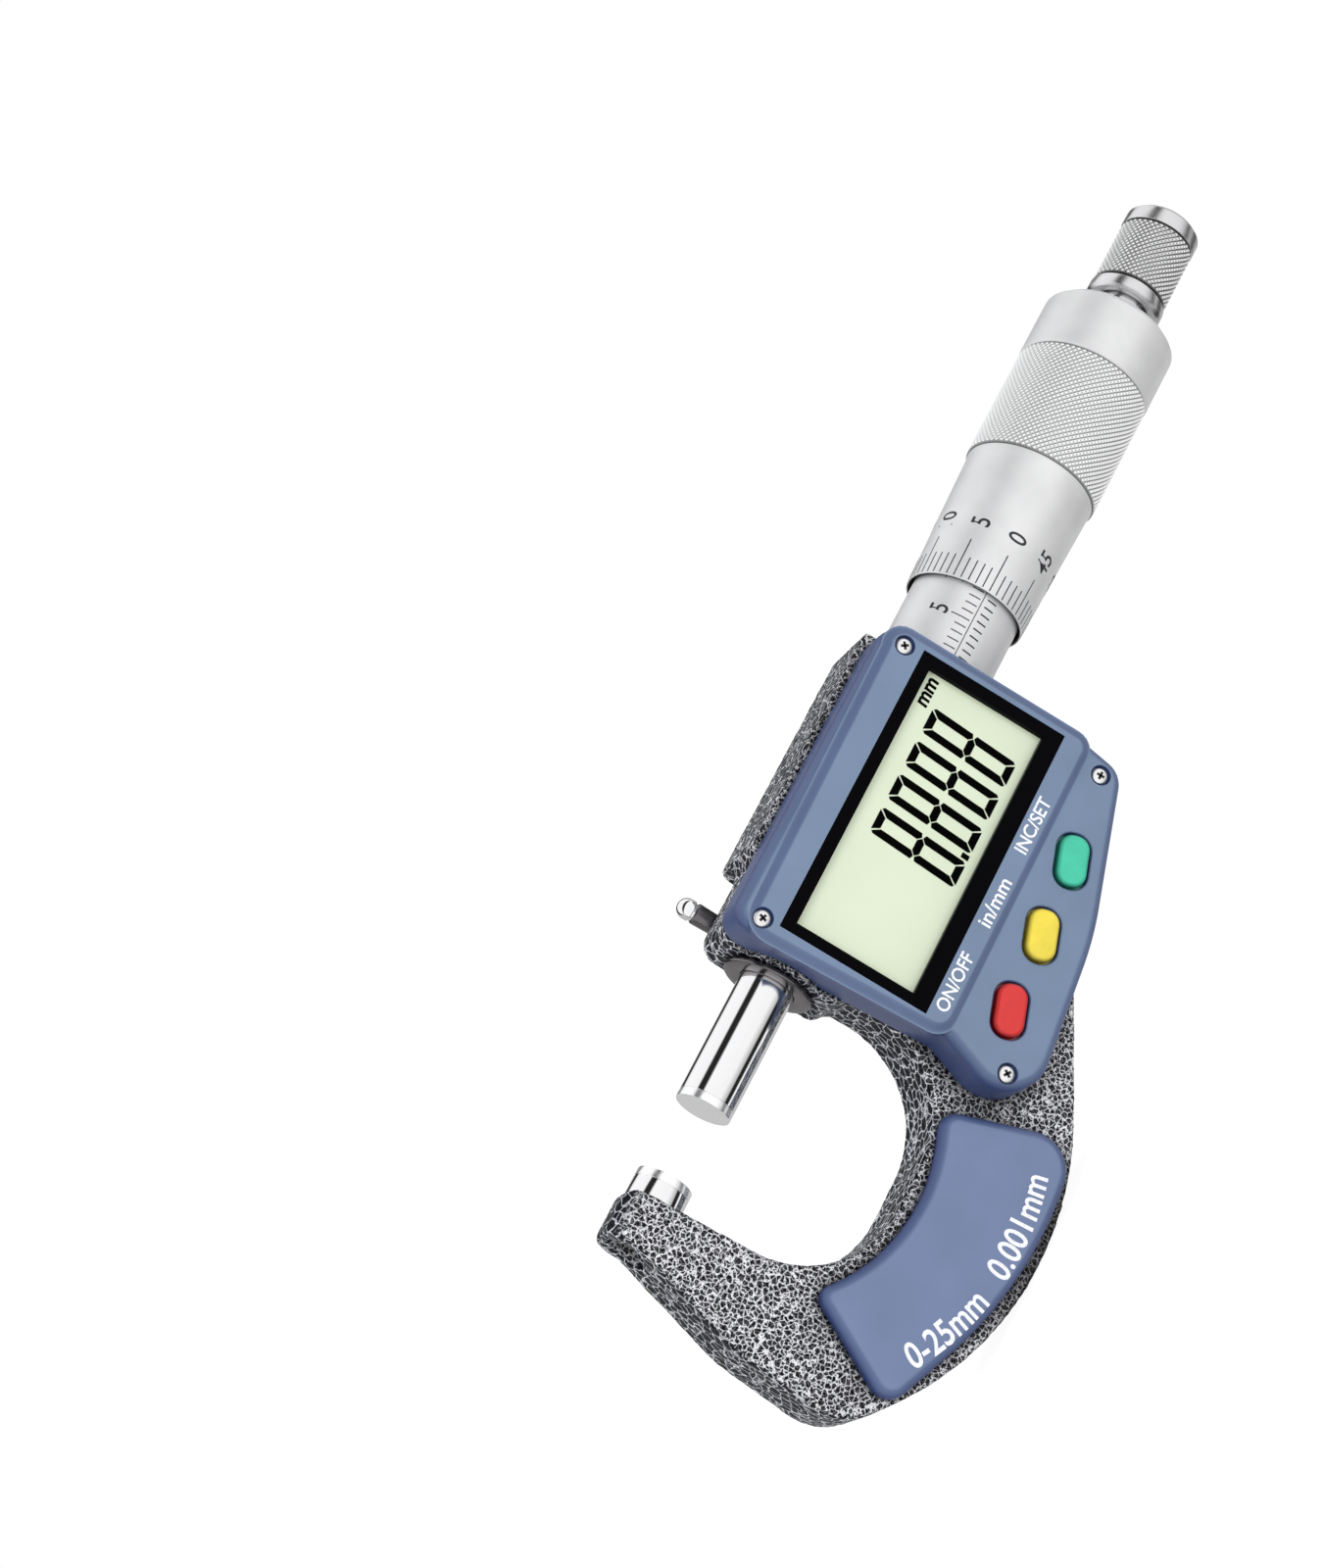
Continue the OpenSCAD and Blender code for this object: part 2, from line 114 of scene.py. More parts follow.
# corners of the outlines, counter-clockwise, as (x, z, corner radius)
HOUSING = [
    (25.6, 8.7, 2.6), (26.9, -18.2, 3), (22.2, -30.6, 5.2), (46, -28.3, 40),
    (64.9, -22.9, 3), (65.8, -17.6, 2), (65.8, 8.7, 2.6),
]
PANEL = [(26.5, 6.2, 2.0), (27.5, -17.2, 1.4), (64.9, -17.2, 1.0), (64.9, 7.6, 1.6), (62.8, 6.9, 2.0)]
GRIP = [
    (-3.7, -18.6, 1.5), (-10.9, -31.1, 2.4), (8.4, -39.2, 47),
    (26.2, -37.7, 4.2), (21.1, -22.3, 2), (7.0, -27.3, 21),
]
SCREWS = [(27.4, 5.6, FRONT_Y), (63.7, 5.8, FRONT_Y), (62.95, -20.6, LOBE_Y), (26.75, -25.9, LOBE_Y)]

# ---- outlines ----


def arc_steps(radius):
    return 24 if radius > 20 else 12 if radius > 4 else 6


def corner_arc(before, p, after, radius, steps):
    """Points of the arc that rounds the corner p."""
    u = (before - p).normalized()
    v = (after - p).normalized()
    half = u.angle(v) / 2
    centre = p + (u + v).normalized() * radius / math.sin(half)
    start = p + u * radius / math.tan(half) - centre
    end = p + v * radius / math.tan(half) - centre
    a0 = math.atan2(start.y, start.x)
    turn = (math.atan2(end.y, end.x) - a0 + 3 * math.pi) % (2 * math.pi) - math.pi
    angles = [a0 + turn * k / steps for k in range(steps + 1)]
    return [centre + radius * Vector((math.cos(a), math.sin(a))) for a in angles]


def fitted_radii(points, radii):
    """The corner radii, reduced where two arcs would run into each other."""
    count = len(points)
    reach = []
    for i, p in enumerate(points):
        half = (points[i - 1] - p).angle(points[(i + 1) % count] - p) / 2
        reach.append(radii[i] / math.tan(half))
    share = [1.0] * count
    for i in range(count):
        j = (i + 1) % count
        room = 0.98 * (points[j] - points[i]).length / (reach[i] + reach[j])
        share[i] = min(share[i], room)
        share[j] = min(share[j], room)
    return [r * k for r, k in zip(radii, share)]


def rounded(corners, steps):
    """The outline with each corner rounded by its own radius."""
    points = [Vector(c[:2]) for c in corners]
    radii = fitted_radii(points, [c[2] for c in corners])
    out = []
    for i, point in enumerate(points):
        after = points[(i + 1) % len(points)]
        out += corner_arc(points[i - 1], point, after, radii[i], steps[i])
    return out


def moved_in(corners, width):
    """The same corners after every edge has moved inwards by width."""
    points = [Vector(c[:2]) for c in corners]
    out = []
    for i, corner in enumerate(corners):
        e0 = (points[i] - points[i - 1]).normalized()
        e1 = (points[(i + 1) % len(points)] - points[i]).normalized()
        n0 = Vector((-e0.y, e0.x))
        n1 = Vector((-e1.y, e1.x))
        p = points[i] + width * (n0 + n1) / (1 + n0.dot(n1))
        bend = -width if e0.cross(e1) > 0 else width
        out.append((p.x, p.y, max(0.25, corner[2] + bend)))
    return out


def layers(corners, profile):
    """Rings of an outline for each (distance moved in, y) of the profile."""
    steps = [arc_steps(c[2]) for c in corners]
    return [
        [Vector((p.x, y, p.y)) for p in rounded(moved_in(corners, width), steps)]
        for width, y in profile
    ]


def quarter_round(width, y0, y1, steps=6):
    """Profile of a rounded rim that goes in by width as y goes from y0 to y1."""
    turns = [math.pi / 2 * k / steps for k in range(steps + 1)]
    return [(width * (1 - math.cos(t)), y0 + (y1 - y0) * math.sin(t)) for t in turns]


# ---- solids ----


def skin(rings, loop=False):
    """Joins rings of equal length; the ends are capped, or in a loop the last ring meets the
    first."""
    bm = bmesh.new()
    rows = [[bm.verts.new(p) for p in ring] for ring in rings]
    following = rows[1:] + rows[:1] if loop else rows[1:]
    for low, high in zip(rows, following):
        for i in range(len(low)):
            j = (i + 1) % len(low)
            bm.faces.new((low[i], low[j], high[j], high[i]))
    if not loop:
        bm.faces.new(rows[0])
        bm.faces.new(rows[-1])
    bmesh.ops.recalc_face_normals(bm, faces=bm.faces)
    return bm


def about_x(s, r, angle):
    """Point of a piece turned on the spindle axis: angle 0 faces -Y and grows towards +Z."""
    return Vector((s, -r * math.cos(angle), r * math.sin(angle)))


def about_y(x, z):
    """The same for a piece turned on an axis parallel to Y."""
    return lambda s, r, angle: Vector((x + r * math.cos(angle), s, z + r * math.sin(angle)))


def turned(profile, place=about_x, segments=96, loop=False):
    """A lathed piece. A profile point is (position, radius), and a radius may be a function
    of the segment's number."""
    rings = []
    for s, r in profile:
        radii = [r(i) if callable(r) else r for i in range(segments)]
        rings.append([place(s, q, 2 * math.pi * i / segments) for i, q in enumerate(radii)])
    return skin(rings, loop)


def soft(points, radius=0.15, steps=3, loop=False):
    """A profile whose corners are rounded, so that every edge catches the light."""
    out = []
    for i, p in enumerate(points):
        if not loop and i in (0, len(points) - 1):
            out.append(p)
            continue
        here = Vector(p)
        a = Vector(points[i - 1]) - here
        b = Vector(points[(i + 1) % len(points)]) - here
        half = a.angle(b) / 2
        reach = min(radius / math.tan(half), 0.42 * a.length, 0.42 * b.length)
        if half > math.radians(86):
            out.append(p)
            continue
        arc = corner_arc(Vector(points[i - 1]), here, here + b, reach * math.tan(half), steps)
        out += [tuple(q) for q in arc]
    return out


def block(low, high):
    """A box between two corners."""
    bm = bmesh.new()
    bmesh.ops.create_cube(bm, size=1)
    low, high = Vector(low), Vector(high)
    for v in bm.verts:
        v.co = Vector([(low[i] + high[i]) / 2 + v.co[i] * (high[i] - low[i]) for i in range(3)])
    return bm


def rounded_bar(centre, length, width, corner, lean, profile):
    """Rings of a bar with round corners, moved in by each width at each y."""
    turn = Matrix.Rotation(lean, 2)
    signs = ((1, -1), (1, 1), (-1, 1), (-1, -1))
    rings = []
    for inward, y in profile:
        radius = max(0.15, corner - inward)
        ring = []
        for k, (sx, sy) in enumerate(signs):
            hub = Vector((sx * (length / 2 - inward - radius), sy * (width / 2 - inward - radius)))
            for step in range(7):
                a = math.pi / 2 * (k - 1 + step / 6)
                ring.append(turn @ (hub + radius * Vector((math.cos(a), math.sin(a)))))
        rings.append([Vector((centre[0] + q.x, y, centre[1] + q.y)) for q in ring])
    return rings


# ---- pieces ----


def add_object(name, data):
    obj = bpy.data.objects.new(name, data)
    bpy.context.scene.collection.objects.link(obj)
    return obj


def to_object(name, bm):
    mesh = bpy.data.meshes.new(name)
    bm.to_mesh(mesh)
    bm.free()
    return add_object(name, mesh)


def evaluated_mesh(obj):
    depsgraph = bpy.context.evaluated_depsgraph_get()
    return bpy.data.meshes.new_from_object(obj.evaluated_get(depsgraph))


def apply_modifiers(obj):
    mesh = evaluated_mesh(obj)
    obj.modifiers.clear()
    obj.data = mesh


def combine(obj, tool, operation="DIFFERENCE"):
    """Cuts the tool out of the piece, or adds it, and removes the tool."""
    cutter = to_object("cutter", tool)
    modifier = obj.modifiers.new("combine", "BOOLEAN")
    modifier.operation = operation
    modifier.solver = "MANIFOLD"
    modifier.object = cutter
    apply_modifiers(obj)
    bpy.data.objects.remove(cutter)


def piece(obj, body, material, replaces=()):
    """Finishes a mesh made in millimetres: metres, shading, material and body."""
    if isinstance(obj, tuple):
        obj = to_object(*obj)
    mesh = obj.data
    mesh.transform(Matrix.Scale(MM, 4))
    mesh.polygons.foreach_set("use_smooth", [True] * len(mesh.polygons))
    mesh.set_sharp_from_angle(angle=SMOOTH_ANGLE)
    mesh.materials.clear()
    mesh.materials.append(material)
    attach(obj, body)
    if replaces:
        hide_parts(*replaces)


def join(parts):
    """One bmesh from several."""
    whole = bmesh.new()
    for bm in parts:
        mesh = bpy.data.meshes.new("part")
        bm.to_mesh(mesh)
        whole.from_mesh(mesh)
        bm.free()
        bpy.data.meshes.remove(mesh)
    return whole


# ---- materials ----


def add_node(tree, kind, inputs=(), **settings):
    """Adds a node. Each of its inputs is given a value, or the socket that feeds it."""
    node = tree.nodes.new("ShaderNode" + kind)
    for key, value in settings.items():
        setattr(node, key, value)
    for socket, value in dict(inputs).items():
        if hasattr(value, "links"):
            tree.links.new(value, node.inputs[socket])
        else:
            node.inputs[socket].default_value = value
    return node


def ramp_node(tree, value, stops):
    """Colour ramp of (position, colour or grey) stops."""
    node = add_node(tree, "ValToRGB", {"Fac": value})
    elements = node.color_ramp.elements
    while len(elements) < len(stops):
        elements.new(0.5)
    for element, (position, color) in zip(elements, stops):
        rgb = (color,) * 3 if isinstance(color, (int, float)) else color
        element.position = position
        element.color = (*rgb, 1)
    return node.outputs["Color"]


class Finish:
    """A principled material whose texture coordinates are the piece's own, in millimetres."""

    def __init__(self, name, color, rough, metal=0.0, coat=0.0):
        self.mat = bpy.data.materials.new(name)
        self.mat.use_nodes = True
        self.tree = self.mat.node_tree
        self.shader = self.tree.nodes["Principled BSDF"]
        self.put("Base Color", (*color, 1))
        self.put("Roughness", rough)
        self.put("Metallic", metal)
        self.put("Coat Weight", coat)
        self.put("Coat Roughness", 0.12)
        coords = self.add("TexCoord")
        self.mm = self.scaled(coords.outputs["Object"], (1 / MM, 1 / MM, 1 / MM))
        self.bump_out = None

    def add(self, kind, inputs=(), **settings):
        return add_node(self.tree, kind, inputs, **settings)

    def link(self, source, target):
        self.tree.links.new(source, target)

    def put(self, socket, value):
        self.shader.inputs[socket].default_value = value

    def color(self, source):
        self.link(source, self.shader.inputs["Base Color"])

    def scaled(self, vector, factors):
        return self.add("VectorMath", {0: vector, 1: factors}, operation="MULTIPLY").outputs[0]

    def noise(self, scale, detail=3.0, stretch=(1, 1, 1), rough=0.5):
        place = self.scaled(self.mm, stretch)
        inputs = {"Scale": scale, "Detail": detail, "Roughness": rough, "Vector": place}
        return self.add("TexNoise", inputs).outputs["Fac"]

    def cells(self, scale, warp):
        """Distance to the edges of irregular cells, whose edges wander by about warp."""
        wobble = self.add("TexNoise", {"Scale": scale * 1.3, "Vector": self.mm})
        spread = self.scaled(wobble.outputs["Color"], (warp, warp, warp))
        place = self.add("VectorMath", {0: self.mm, 1: spread}, operation="ADD").outputs[0]
        inputs = {"Scale": scale, "Vector": place}
        return self.add("TexVoronoi", inputs, feature="DISTANCE_TO_EDGE").outputs["Distance"]

    def ramp(self, value, *stops):
        return ramp_node(self.tree, value, stops)

    def mix(self, factor, a, b, blend="MIX"):
        """Mixes two colours; each may be a socket or a colour."""
        a, b = (c if hasattr(c, "links") else (*c, 1) for c in (a, b))
        inputs = {0: factor, 6: a, 7: b}
        return self.add("Mix", inputs, data_type="RGBA", blend_type=blend).outputs[2]

    def times(self, a, b):
        return self.mix(1.0, a, b, "MULTIPLY")

    def clouded(self, color, scale, detail, low, high):
        """The colour with soft clouds that multiply it by low to high."""
        return self.times(color, self.ramp(self.noise(scale, detail), (0.3, low), (0.7, high)))

    def math(self, operation, a, b=0.0):
        return self.add("Math", {0: a, 1: b}, operation=operation).outputs[0]

    def facing(self):
        """Size of the Y component of the surface normal: 1 on flat fronts and backs."""
        normal = self.add("NewGeometry").outputs["Normal"]
        return self.math("ABSOLUTE", self.add("SeparateXYZ", {0: normal}).outputs[1])

    def hollows(self, reach, darkest):
        """Painted shade: grey that falls to darkest where other surfaces stand within reach millimetres."""
        open_sky = self.add("AmbientOcclusion", {"Distance": reach * MM}, samples=8)
        return self.ramp(open_sky.outputs["AO"], (0.45, darkest), (0.92, 1.0))

    def bump(self, height, distance, strength=1.0):
        """Adds a bump of the given depth in millimetres on top of the earlier ones."""
        inputs = {"Strength": strength, "Distance": distance * MM, "Height": height}
        if self.bump_out:
            inputs["Normal"] = self.bump_out
        self.bump_out = self.add("Bump", inputs).outputs[0]
        self.link(self.bump_out, self.shader.inputs["Normal"])

    def roughness(self, source, low, high):
        """Roughness from low to high as the source goes from 0 to 1."""
        inputs = {"To Min": low, "To Max": high, "Value": source}
        self.link(self.add("MapRange", inputs).outputs[0], self.shader.inputs["Roughness"])


def hammered_paint():
    """Grey hammered lacquer: a light wiggly network round dark round pits; the walls are dark slate with a
    few bright flecks, a darker tone that is partly painted shade, and painted shade darkens the paint near
    other parts."""
    f = Finish("hammered_paint", (0.3, 0.3, 0.34), 0.34, metal=0.1)
    f.put("Specular IOR Level", 0.12)
    ridge = f.cells(1.6, 0.7)
    coarse = f.cells(0.85, 0.8)
    fine = f.cells(2.4, 0.35)
    network = f.ramp(ridge, (0.0, 1.0), (0.055, (0.8, 0.8, 0.83)), (0.1, (0.16, 0.16, 0.19)),
                     (0.15, (0.006, 0.006, 0.009)), (0.3, (0.001, 0.001, 0.002)))
    veins = f.ramp(fine, (0.0, 0.4), (0.05, 0.1), (0.09, 0.0))
    face = f.mix(veins, network, (0.5, 0.5, 0.53))
    flecks = f.ramp(coarse, (0.0, 1.0), (0.03, (0.6, 0.61, 0.67)), (0.065, (0.05, 0.055, 0.08)),
                    (0.13, (0.005, 0.006, 0.012)), (0.3, (0.002, 0.002, 0.005)))
    # walls, by the direction of their normal, take the darker fleck pattern: partly painted shade
    front = f.ramp(f.facing(), (0.6, 0.0), (0.92, 1.0))
    # the paint is multiplied by painted shade where other parts stand close
    f.color(f.times(f.mix(front, flecks, face), f.hollows(3.5, 0.12)))
    f.roughness(f.noise(0.9, detail=2), 0.26, 0.46)
    f.bump(f.ramp(ridge, (0.0, 1.0), (0.24, 0.0)), 0.2, 0.75)
    f.bump(fine, 0.05, 0.5)
    return f.mat


def blue_plastic(name, face, slope):
    """Moulded plastic with a fine grain; its slopes are painted darker than the face, by the direction of the
    normal: painted shade.
    """
    f = Finish(name, face, 0.42, coat=0.12)
    half_shade = tuple(0.5 * (a + b) for a, b in zip(face, slope))
    # painted shade: the colour goes from the face colour to the darker slope colour as the surface turns away
    # from the front
    tone = f.ramp(f.facing(), (0.35, slope), (0.93, half_shade), (0.995, face))
    f.color(f.clouded(tone, 0.14, 2, 0.93, 1.05))
    f.roughness(f.noise(1.8, detail=4), 0.34, 0.5)
    f.bump(f.noise(7.0, detail=5), 0.02, 0.55)
    f.bump(f.noise(0.35, detail=1), 0.05, 0.35)
    return f.mat


def brushed(name, color, rough, grain=0.012, metal=1.0):
    """Turned metal: fine rings round the spindle axis, and an uneven polish."""
    f = Finish(name, color, rough, metal=metal)
    rings = f.noise(1.0, detail=6, stretch=(22, 0.35, 0.35), rough=0.7)
    f.roughness(rings, rough * 0.8, rough * 1.25)
    f.bump(rings, grain, 0.5)
    f.color(f.clouded(color, 0.25, 2, 0.95, 1.03))
    return f.mat


def knurled_metal(name, color, top_r, depth, groove, metal):
    """Satin metal with painted shade at the bottom of its grooves, darker there by the factor groove."""
    f = Finish(name, color, 0.4, metal=metal)
    from_axis = f.add("VectorMath", {0: f.scaled(f.mm, (0, 1, 1))}, operation="LENGTH")
    height = f.math("DIVIDE", f.math("SUBTRACT", from_axis.outputs["Value"], top_r - depth), depth)
    # painted shade: the colour falls towards the bottom of the grooves
    low, flank = (tuple(share * c for c in color) for share in (groove, groove + 0.3))
    f.color(f.ramp(height, (0.0, low), (0.35, flank), (0.7, color)))
    f.roughness(f.noise(3.0), 0.36, 0.5)
    f.bump(f.noise(6.0, detail=4), 0.01, 0.5)
    return f.mat


def polished(name, color, rough=0.07):
    """Ground and polished steel, with faint hairlines and smudges."""
    f = Finish(name, color, rough, metal=1.0)
    f.roughness(f.noise(0.5, detail=5), rough * 0.6, rough * 1.8)
    f.bump(f.noise(1.0, detail=5, stretch=(14, 0.4, 0.4)), 0.003, 0.4)
    return f.mat


def carbide():
    """Lapped carbide with a fine grain."""
    f = Finish("carbide", (0.95, 0.95, 0.96), 0.2, metal=0.85)
    f.color(f.ramp(f.noise(5.0, detail=4), (0.35, (0.9, 0.9, 0.91)), (0.65, (0.98, 0.98, 0.99))))
    f.roughness(f.noise(2.5, detail=4), 0.14, 0.3)
    f.bump(f.noise(9.0, detail=3), 0.004, 0.5)
    return f.mat


def plain_plastic(name, color, rough=0.35, coat=0.0, grain=0.01):
    """Moulded plastic or rubber with a slight cloud in its colour and a fine skin."""
    f = Finish(name, color, rough, coat=coat)
    f.color(f.clouded(color, 0.5, 3, 0.92, 1.06))
    f.roughness(f.noise(2.0, detail=4), rough * 0.8, rough * 1.2)
    f.bump(f.noise(5.0, detail=4), grain, 0.5)
    return f.mat


def button_plastic(name, color):
    """Glossy coloured plastic whose sides are painted darker: painted shade for their place down in the
    opening.
    """
    f = Finish(name, color, 0.24, coat=0.35)
    # painted shade on the sides, by the direction of the normal
    painted_shade = f.ramp(f.facing(), (0.1, 0.3), (0.6, 0.6), (0.97, 1.0))
    f.color(f.times(f.clouded(color, 0.5, 3, 0.92, 1.06), painted_shade))
    f.roughness(f.noise(2.0, detail=4), 0.19, 0.29)
    f.bump(f.noise(5.0, detail=4), 0.004, 0.5)
    return f.mat


def lens_black():
    """Black print under a dull clear skin."""
    f = Finish("lens_black", (0.002, 0.002, 0.0025), 0.2)
    f.put("Specular IOR Level", 0.015)
    f.roughness(f.noise(0.3, detail=3), 0.14, 0.26)
    f.bump(f.noise(2.0, detail=2), 0.002, 0.3)
    return f.mat


def lcd_glass():
    """Pale green reflective display with a faint painted glow, so it is brighter than its recess would let it
    be.
    """
    f = Finish("lcd_glass", (0.65, 0.72, 0.54), 0.3, coat=0.2)
    tone = f.ramp(f.noise(0.12, detail=3), (0.3, (0.63, 0.71, 0.53)), (0.7, (0.66, 0.735, 0.555)))
    f.color(tone)
    # painted glow: the display emits a little light of its own colour
    f.link(tone, f.shader.inputs["Emission Color"])
    f.put("Emission Strength", 0.03)
    f.bump(f.noise(12.0, detail=2), 0.002, 0.3)
    return f.mat


def ink(name, color, rough=0.45, shine=0.3):
    """Printed ink that covers a little unevenly."""
    f = Finish(name, color, rough)
    f.put("Specular IOR Level", shine)
    f.roughness(f.noise(6.0, detail=3), rough * 0.8, rough * 1.3)
    f.color(f.clouded(color, 3.0, 3, 0.85, 1.1))
    return f.mat


def board_green():
    """Solder mask over copper tracks."""
    f = Finish("board_green", (0.02, 0.16, 0.07), 0.35, coat=0.4)
    tracks = f.add("TexBrick", {
        "Scale": 0.35, "Mortar Size": 0.03, "Color1": (0.018, 0.15, 0.065, 1),
        "Color2": (0.02, 0.17, 0.075, 1), "Mortar": (0.05, 0.3, 0.12, 1), "Vector": f.mm})
    f.color(tracks.outputs["Color"])
    f.bump(tracks.outputs["Fac"], 0.03, 0.5)
    return f.mat


def zebra():
    """Layers of conducting and plain rubber that join the display to the board."""
    f = Finish("zebra_strip", (0.7, 0.35, 0.4), 0.6)
    stripes = f.add("TexWave", {"Scale": 1.6, "Vector": f.mm}, bands_direction="X")
    f.color(f.ramp(stripes.outputs["Color"], (0.4, (0.72, 0.36, 0.42)), (0.6, (0.05, 0.05, 0.05))))
    f.bump(stripes.outputs["Color"], 0.02, 0.4)
    return f.mat


SATIN = (0.78, 0.78, 0.785)
STEEL = (0.86, 0.86, 0.87)
PAINT = hammered_paint()
# the second colour of each plastic is painted shade on its slopes and rims
BLUE = blue_plastic("blue_plastic", (0.152, 0.216, 0.33), (0.045, 0.07, 0.18))
GRIP_BLUE = blue_plastic("grip_plastic", (0.143, 0.192, 0.336), (0.02, 0.04, 0.14))
CHROME_SATIN = brushed("satin_chrome", SATIN, 0.5, metal=0.6)
CHROME = polished("polished_steel", STEEL, 0.06)
RATCHET = polished("ratchet_steel", (0.72, 0.72, 0.73), 0.24)
NICKEL = polished("nickel_screws", (0.9, 0.9, 0.9), 0.3)
STEEL_PLAIN = brushed("machined_steel", (0.62, 0.62, 0.64), 0.32, grain=0.02)
# black finish for pieces put into gaps and recesses: painted shade
PAINTED_SHADE_BLACK = brushed("painted_shade_black", (0.01, 0.01, 0.011), 0.6, metal=0.0)
DARK = polished("dark_steel", (0.16, 0.15, 0.155), 0.2)
BRASS = brushed("brass", (0.78, 0.57, 0.26), 0.3)
CARBIDE = carbide()
BLACK = lens_black()
LCD = lcd_glass()
INK = ink("scale_ink", (0.03, 0.03, 0.035))
SEGMENTS = ink("lcd_segments", (0.002, 0.002, 0.002), 0.6, 0.0)
PRINT = ink("white_print", (0.88, 0.89, 0.92), 0.5)
GASKET = plain_plastic("black_plastic", (0.02, 0.02, 0.022), 0.5)
RUBBER = plain_plastic("rubber", (0.5, 0.5, 0.47), 0.7)
CELL = brushed("battery_steel", (0.75, 0.75, 0.77), 0.28)

# ---- cast frame and grips ----


def rod(x0, x1, r, segments=96):
    return turned([(x0, r), (x1, r)], segments=segments)


def pin(x, z, y0, y1, r, segments=64):
    return turned([(y0, r), (y1, r)], about_y(x, z), segments)


def cast_frame():
    """The CAD bow with the soft edges and the uneven skin of a casting, its bores cut true."""
    obj = add_object("frame_casting", frame["nodes"]["frame"].data.copy())
    obj.data.transform(Matrix.Scale(1 / MM, 4))
    clouds = bpy.data.textures.new("casting_skin", "CLOUDS")
    clouds.noise_scale = 0.9
    clouds.noise_depth = 2
    for kind, settings in (
        ("REMESH", {"mode": "VOXEL", "voxel_size": 0.3}),
        ("SMOOTH", {"factor": 0.5, "iterations": 5}),
        ("DISPLACE", {"texture": clouds, "texture_coords": "LOCAL", "strength": 0.16, "mid_level": 0.5}),
    ):
        modifier = obj.modifiers.new(kind.lower(), kind)
        for key, value in settings.items():
            setattr(modifier, key, value)
    apply_modifiers(obj)
    low, high = box("frame")
    nose_low, nose_high = box("nose_bush")
    past = 1                       # how far a cutter reaches out of the casting
    sleeve_seat_r = 5.2
    battery_r = 7.4
    lock_hub_r = 3.0
    lock_bore_r = 1.44
    for cutter in (
        rod(low.x - 5, 0.5, STEM_R + 0.03),
        rod(nose_low.x - past, nose_high.x, SEAT_R + 0.05),
        rod(high.x - 5, high.x + past, sleeve_seat_r),
        pin(BATTERY.x, BATTERY.z, FACE_Y - past, BACK_Y + past, battery_r, 96),
        pin(LOCK.x, LOCK.z, BACK_Y, BACK_Y + 20, lock_hub_r),
        pin(LOCK.x, LOCK.z, 0, BACK_Y + past, lock_bore_r),
    ):
        combine(obj, cutter)
    piece(obj, "frame", PAINT, ("frame",))


def grip(name, y_root, y_face):
    """A grip plate: a steep side, a sloped rim and a flat face."""
    rim = [(0.08, 0), (0.0, 0.08), (0.0, 0.5), (0.08, 0.64), (0.22, 0.76), (0.42, 0.86), (0.66, 0.93),
           (0.88, 0.975), (1.05, 0.995), (1.2, 1), (1.6, 1)]
    profile = [(inward, y_root + share * (y_face - y_root)) for inward, share in rim]
    piece((name, skin(layers(GRIP, profile))), "frame", GRIP_BLUE, (name,))


# ---- measuring parts ----


def tip_profile(root, face):
    """A carbide tip from its root to its measuring face, with a hairline groove at the root."""
    way = 1 if face > root else -1
    return [
        (root, SPINDLE_R - 0.2), (root, SPINDLE_R - 0.04), (root + 0.06 * way, SPINDLE_R),
        (face - 0.1 * way, SPINDLE_R), (face - 0.03 * way, SPINDLE_R - 0.03), (face, SPINDLE_R - 0.1),
        (face, SPINDLE_R - 0.3),
    ]


def anvil():
    low, high = box("anvil")
    end = low.x + 2.2              # short of the boss, whose bore then looks dark
    body = soft([(end, STEM_R - 0.4), (end + 0.4, STEM_R), (BOSS_X, STEM_R), (BOSS_X, SPINDLE_R),
                 (high.x, SPINDLE_R), (high.x, SPINDLE_R - 0.2)], 0.05)
    piece(("anvil_pin", turned(body)), "frame", CHROME, ("anvil",))
    low, high = box("anvil_tip")
    tip = turned(tip_profile(low.x, high.x))
    piece(("anvil_face", tip), "frame", CARBIDE, ("anvil_tip",))


def spindle():
    """Spindle with its relief before the thread, its key slot and the ratchet's screw hole."""
    low, high = box("spindle")
    shoulder = THIMBLE_END - END_WALL
    relief, thread = low.x + 61, low.x + 63
    relief_r = SPINDLE_R - 0.4
    nose_r = 2.5
    outline = soft([
        (low.x, SPINDLE_R - 0.2), (low.x, SPINDLE_R), (relief, SPINDLE_R), (relief, relief_r),
        (thread, relief_r), (thread, SPINDLE_R), (shoulder, SPINDLE_R), (shoulder, nose_r),
        (high.x, nose_r), (high.x, 1.8)], 0.05)
    obj = to_object("spindle_rod", turned(outline))
    tip_low, tip_high = box("spindle_tip")
    slot_start, slot_end = tip_low.x + 29.7, tip_low.x + 60
    combine(obj, block((slot_start, SPINDLE_R - 0.6, -0.5), (slot_end, SPINDLE_R + 1, 0.5)))
    combine(obj, rod(shoulder - 5, high.x + 1, 1.05, 32))
    piece(obj, "spindle", CHROME, ("spindle",))
    tip = turned(tip_profile(tip_high.x, tip_low.x))
    piece(("spindle_face", tip), "spindle", CARBIDE, ("spindle_tip",))


def nose_collar():
    """Bush at the nose: a flange with a rounded rim, and its sleeve in the casting."""
    low, high = box("nose_bush")
    seat = low.x + 0.7
    bore = SPINDLE_R + 0.05
    profile = soft([(low.x, bore), (low.x, high.z), (seat, high.z), (seat, SEAT_R), (high.x, SEAT_R),
                    (high.x, bore)], 0.2, loop=True)
    obj = to_object("nose_collar", turned(profile, loop=True))
    combine(obj, pin(LOCK.x, LOCK.z, -10, 10, 1.5))
    piece(obj, "frame", DARK, ("nose_bush",))


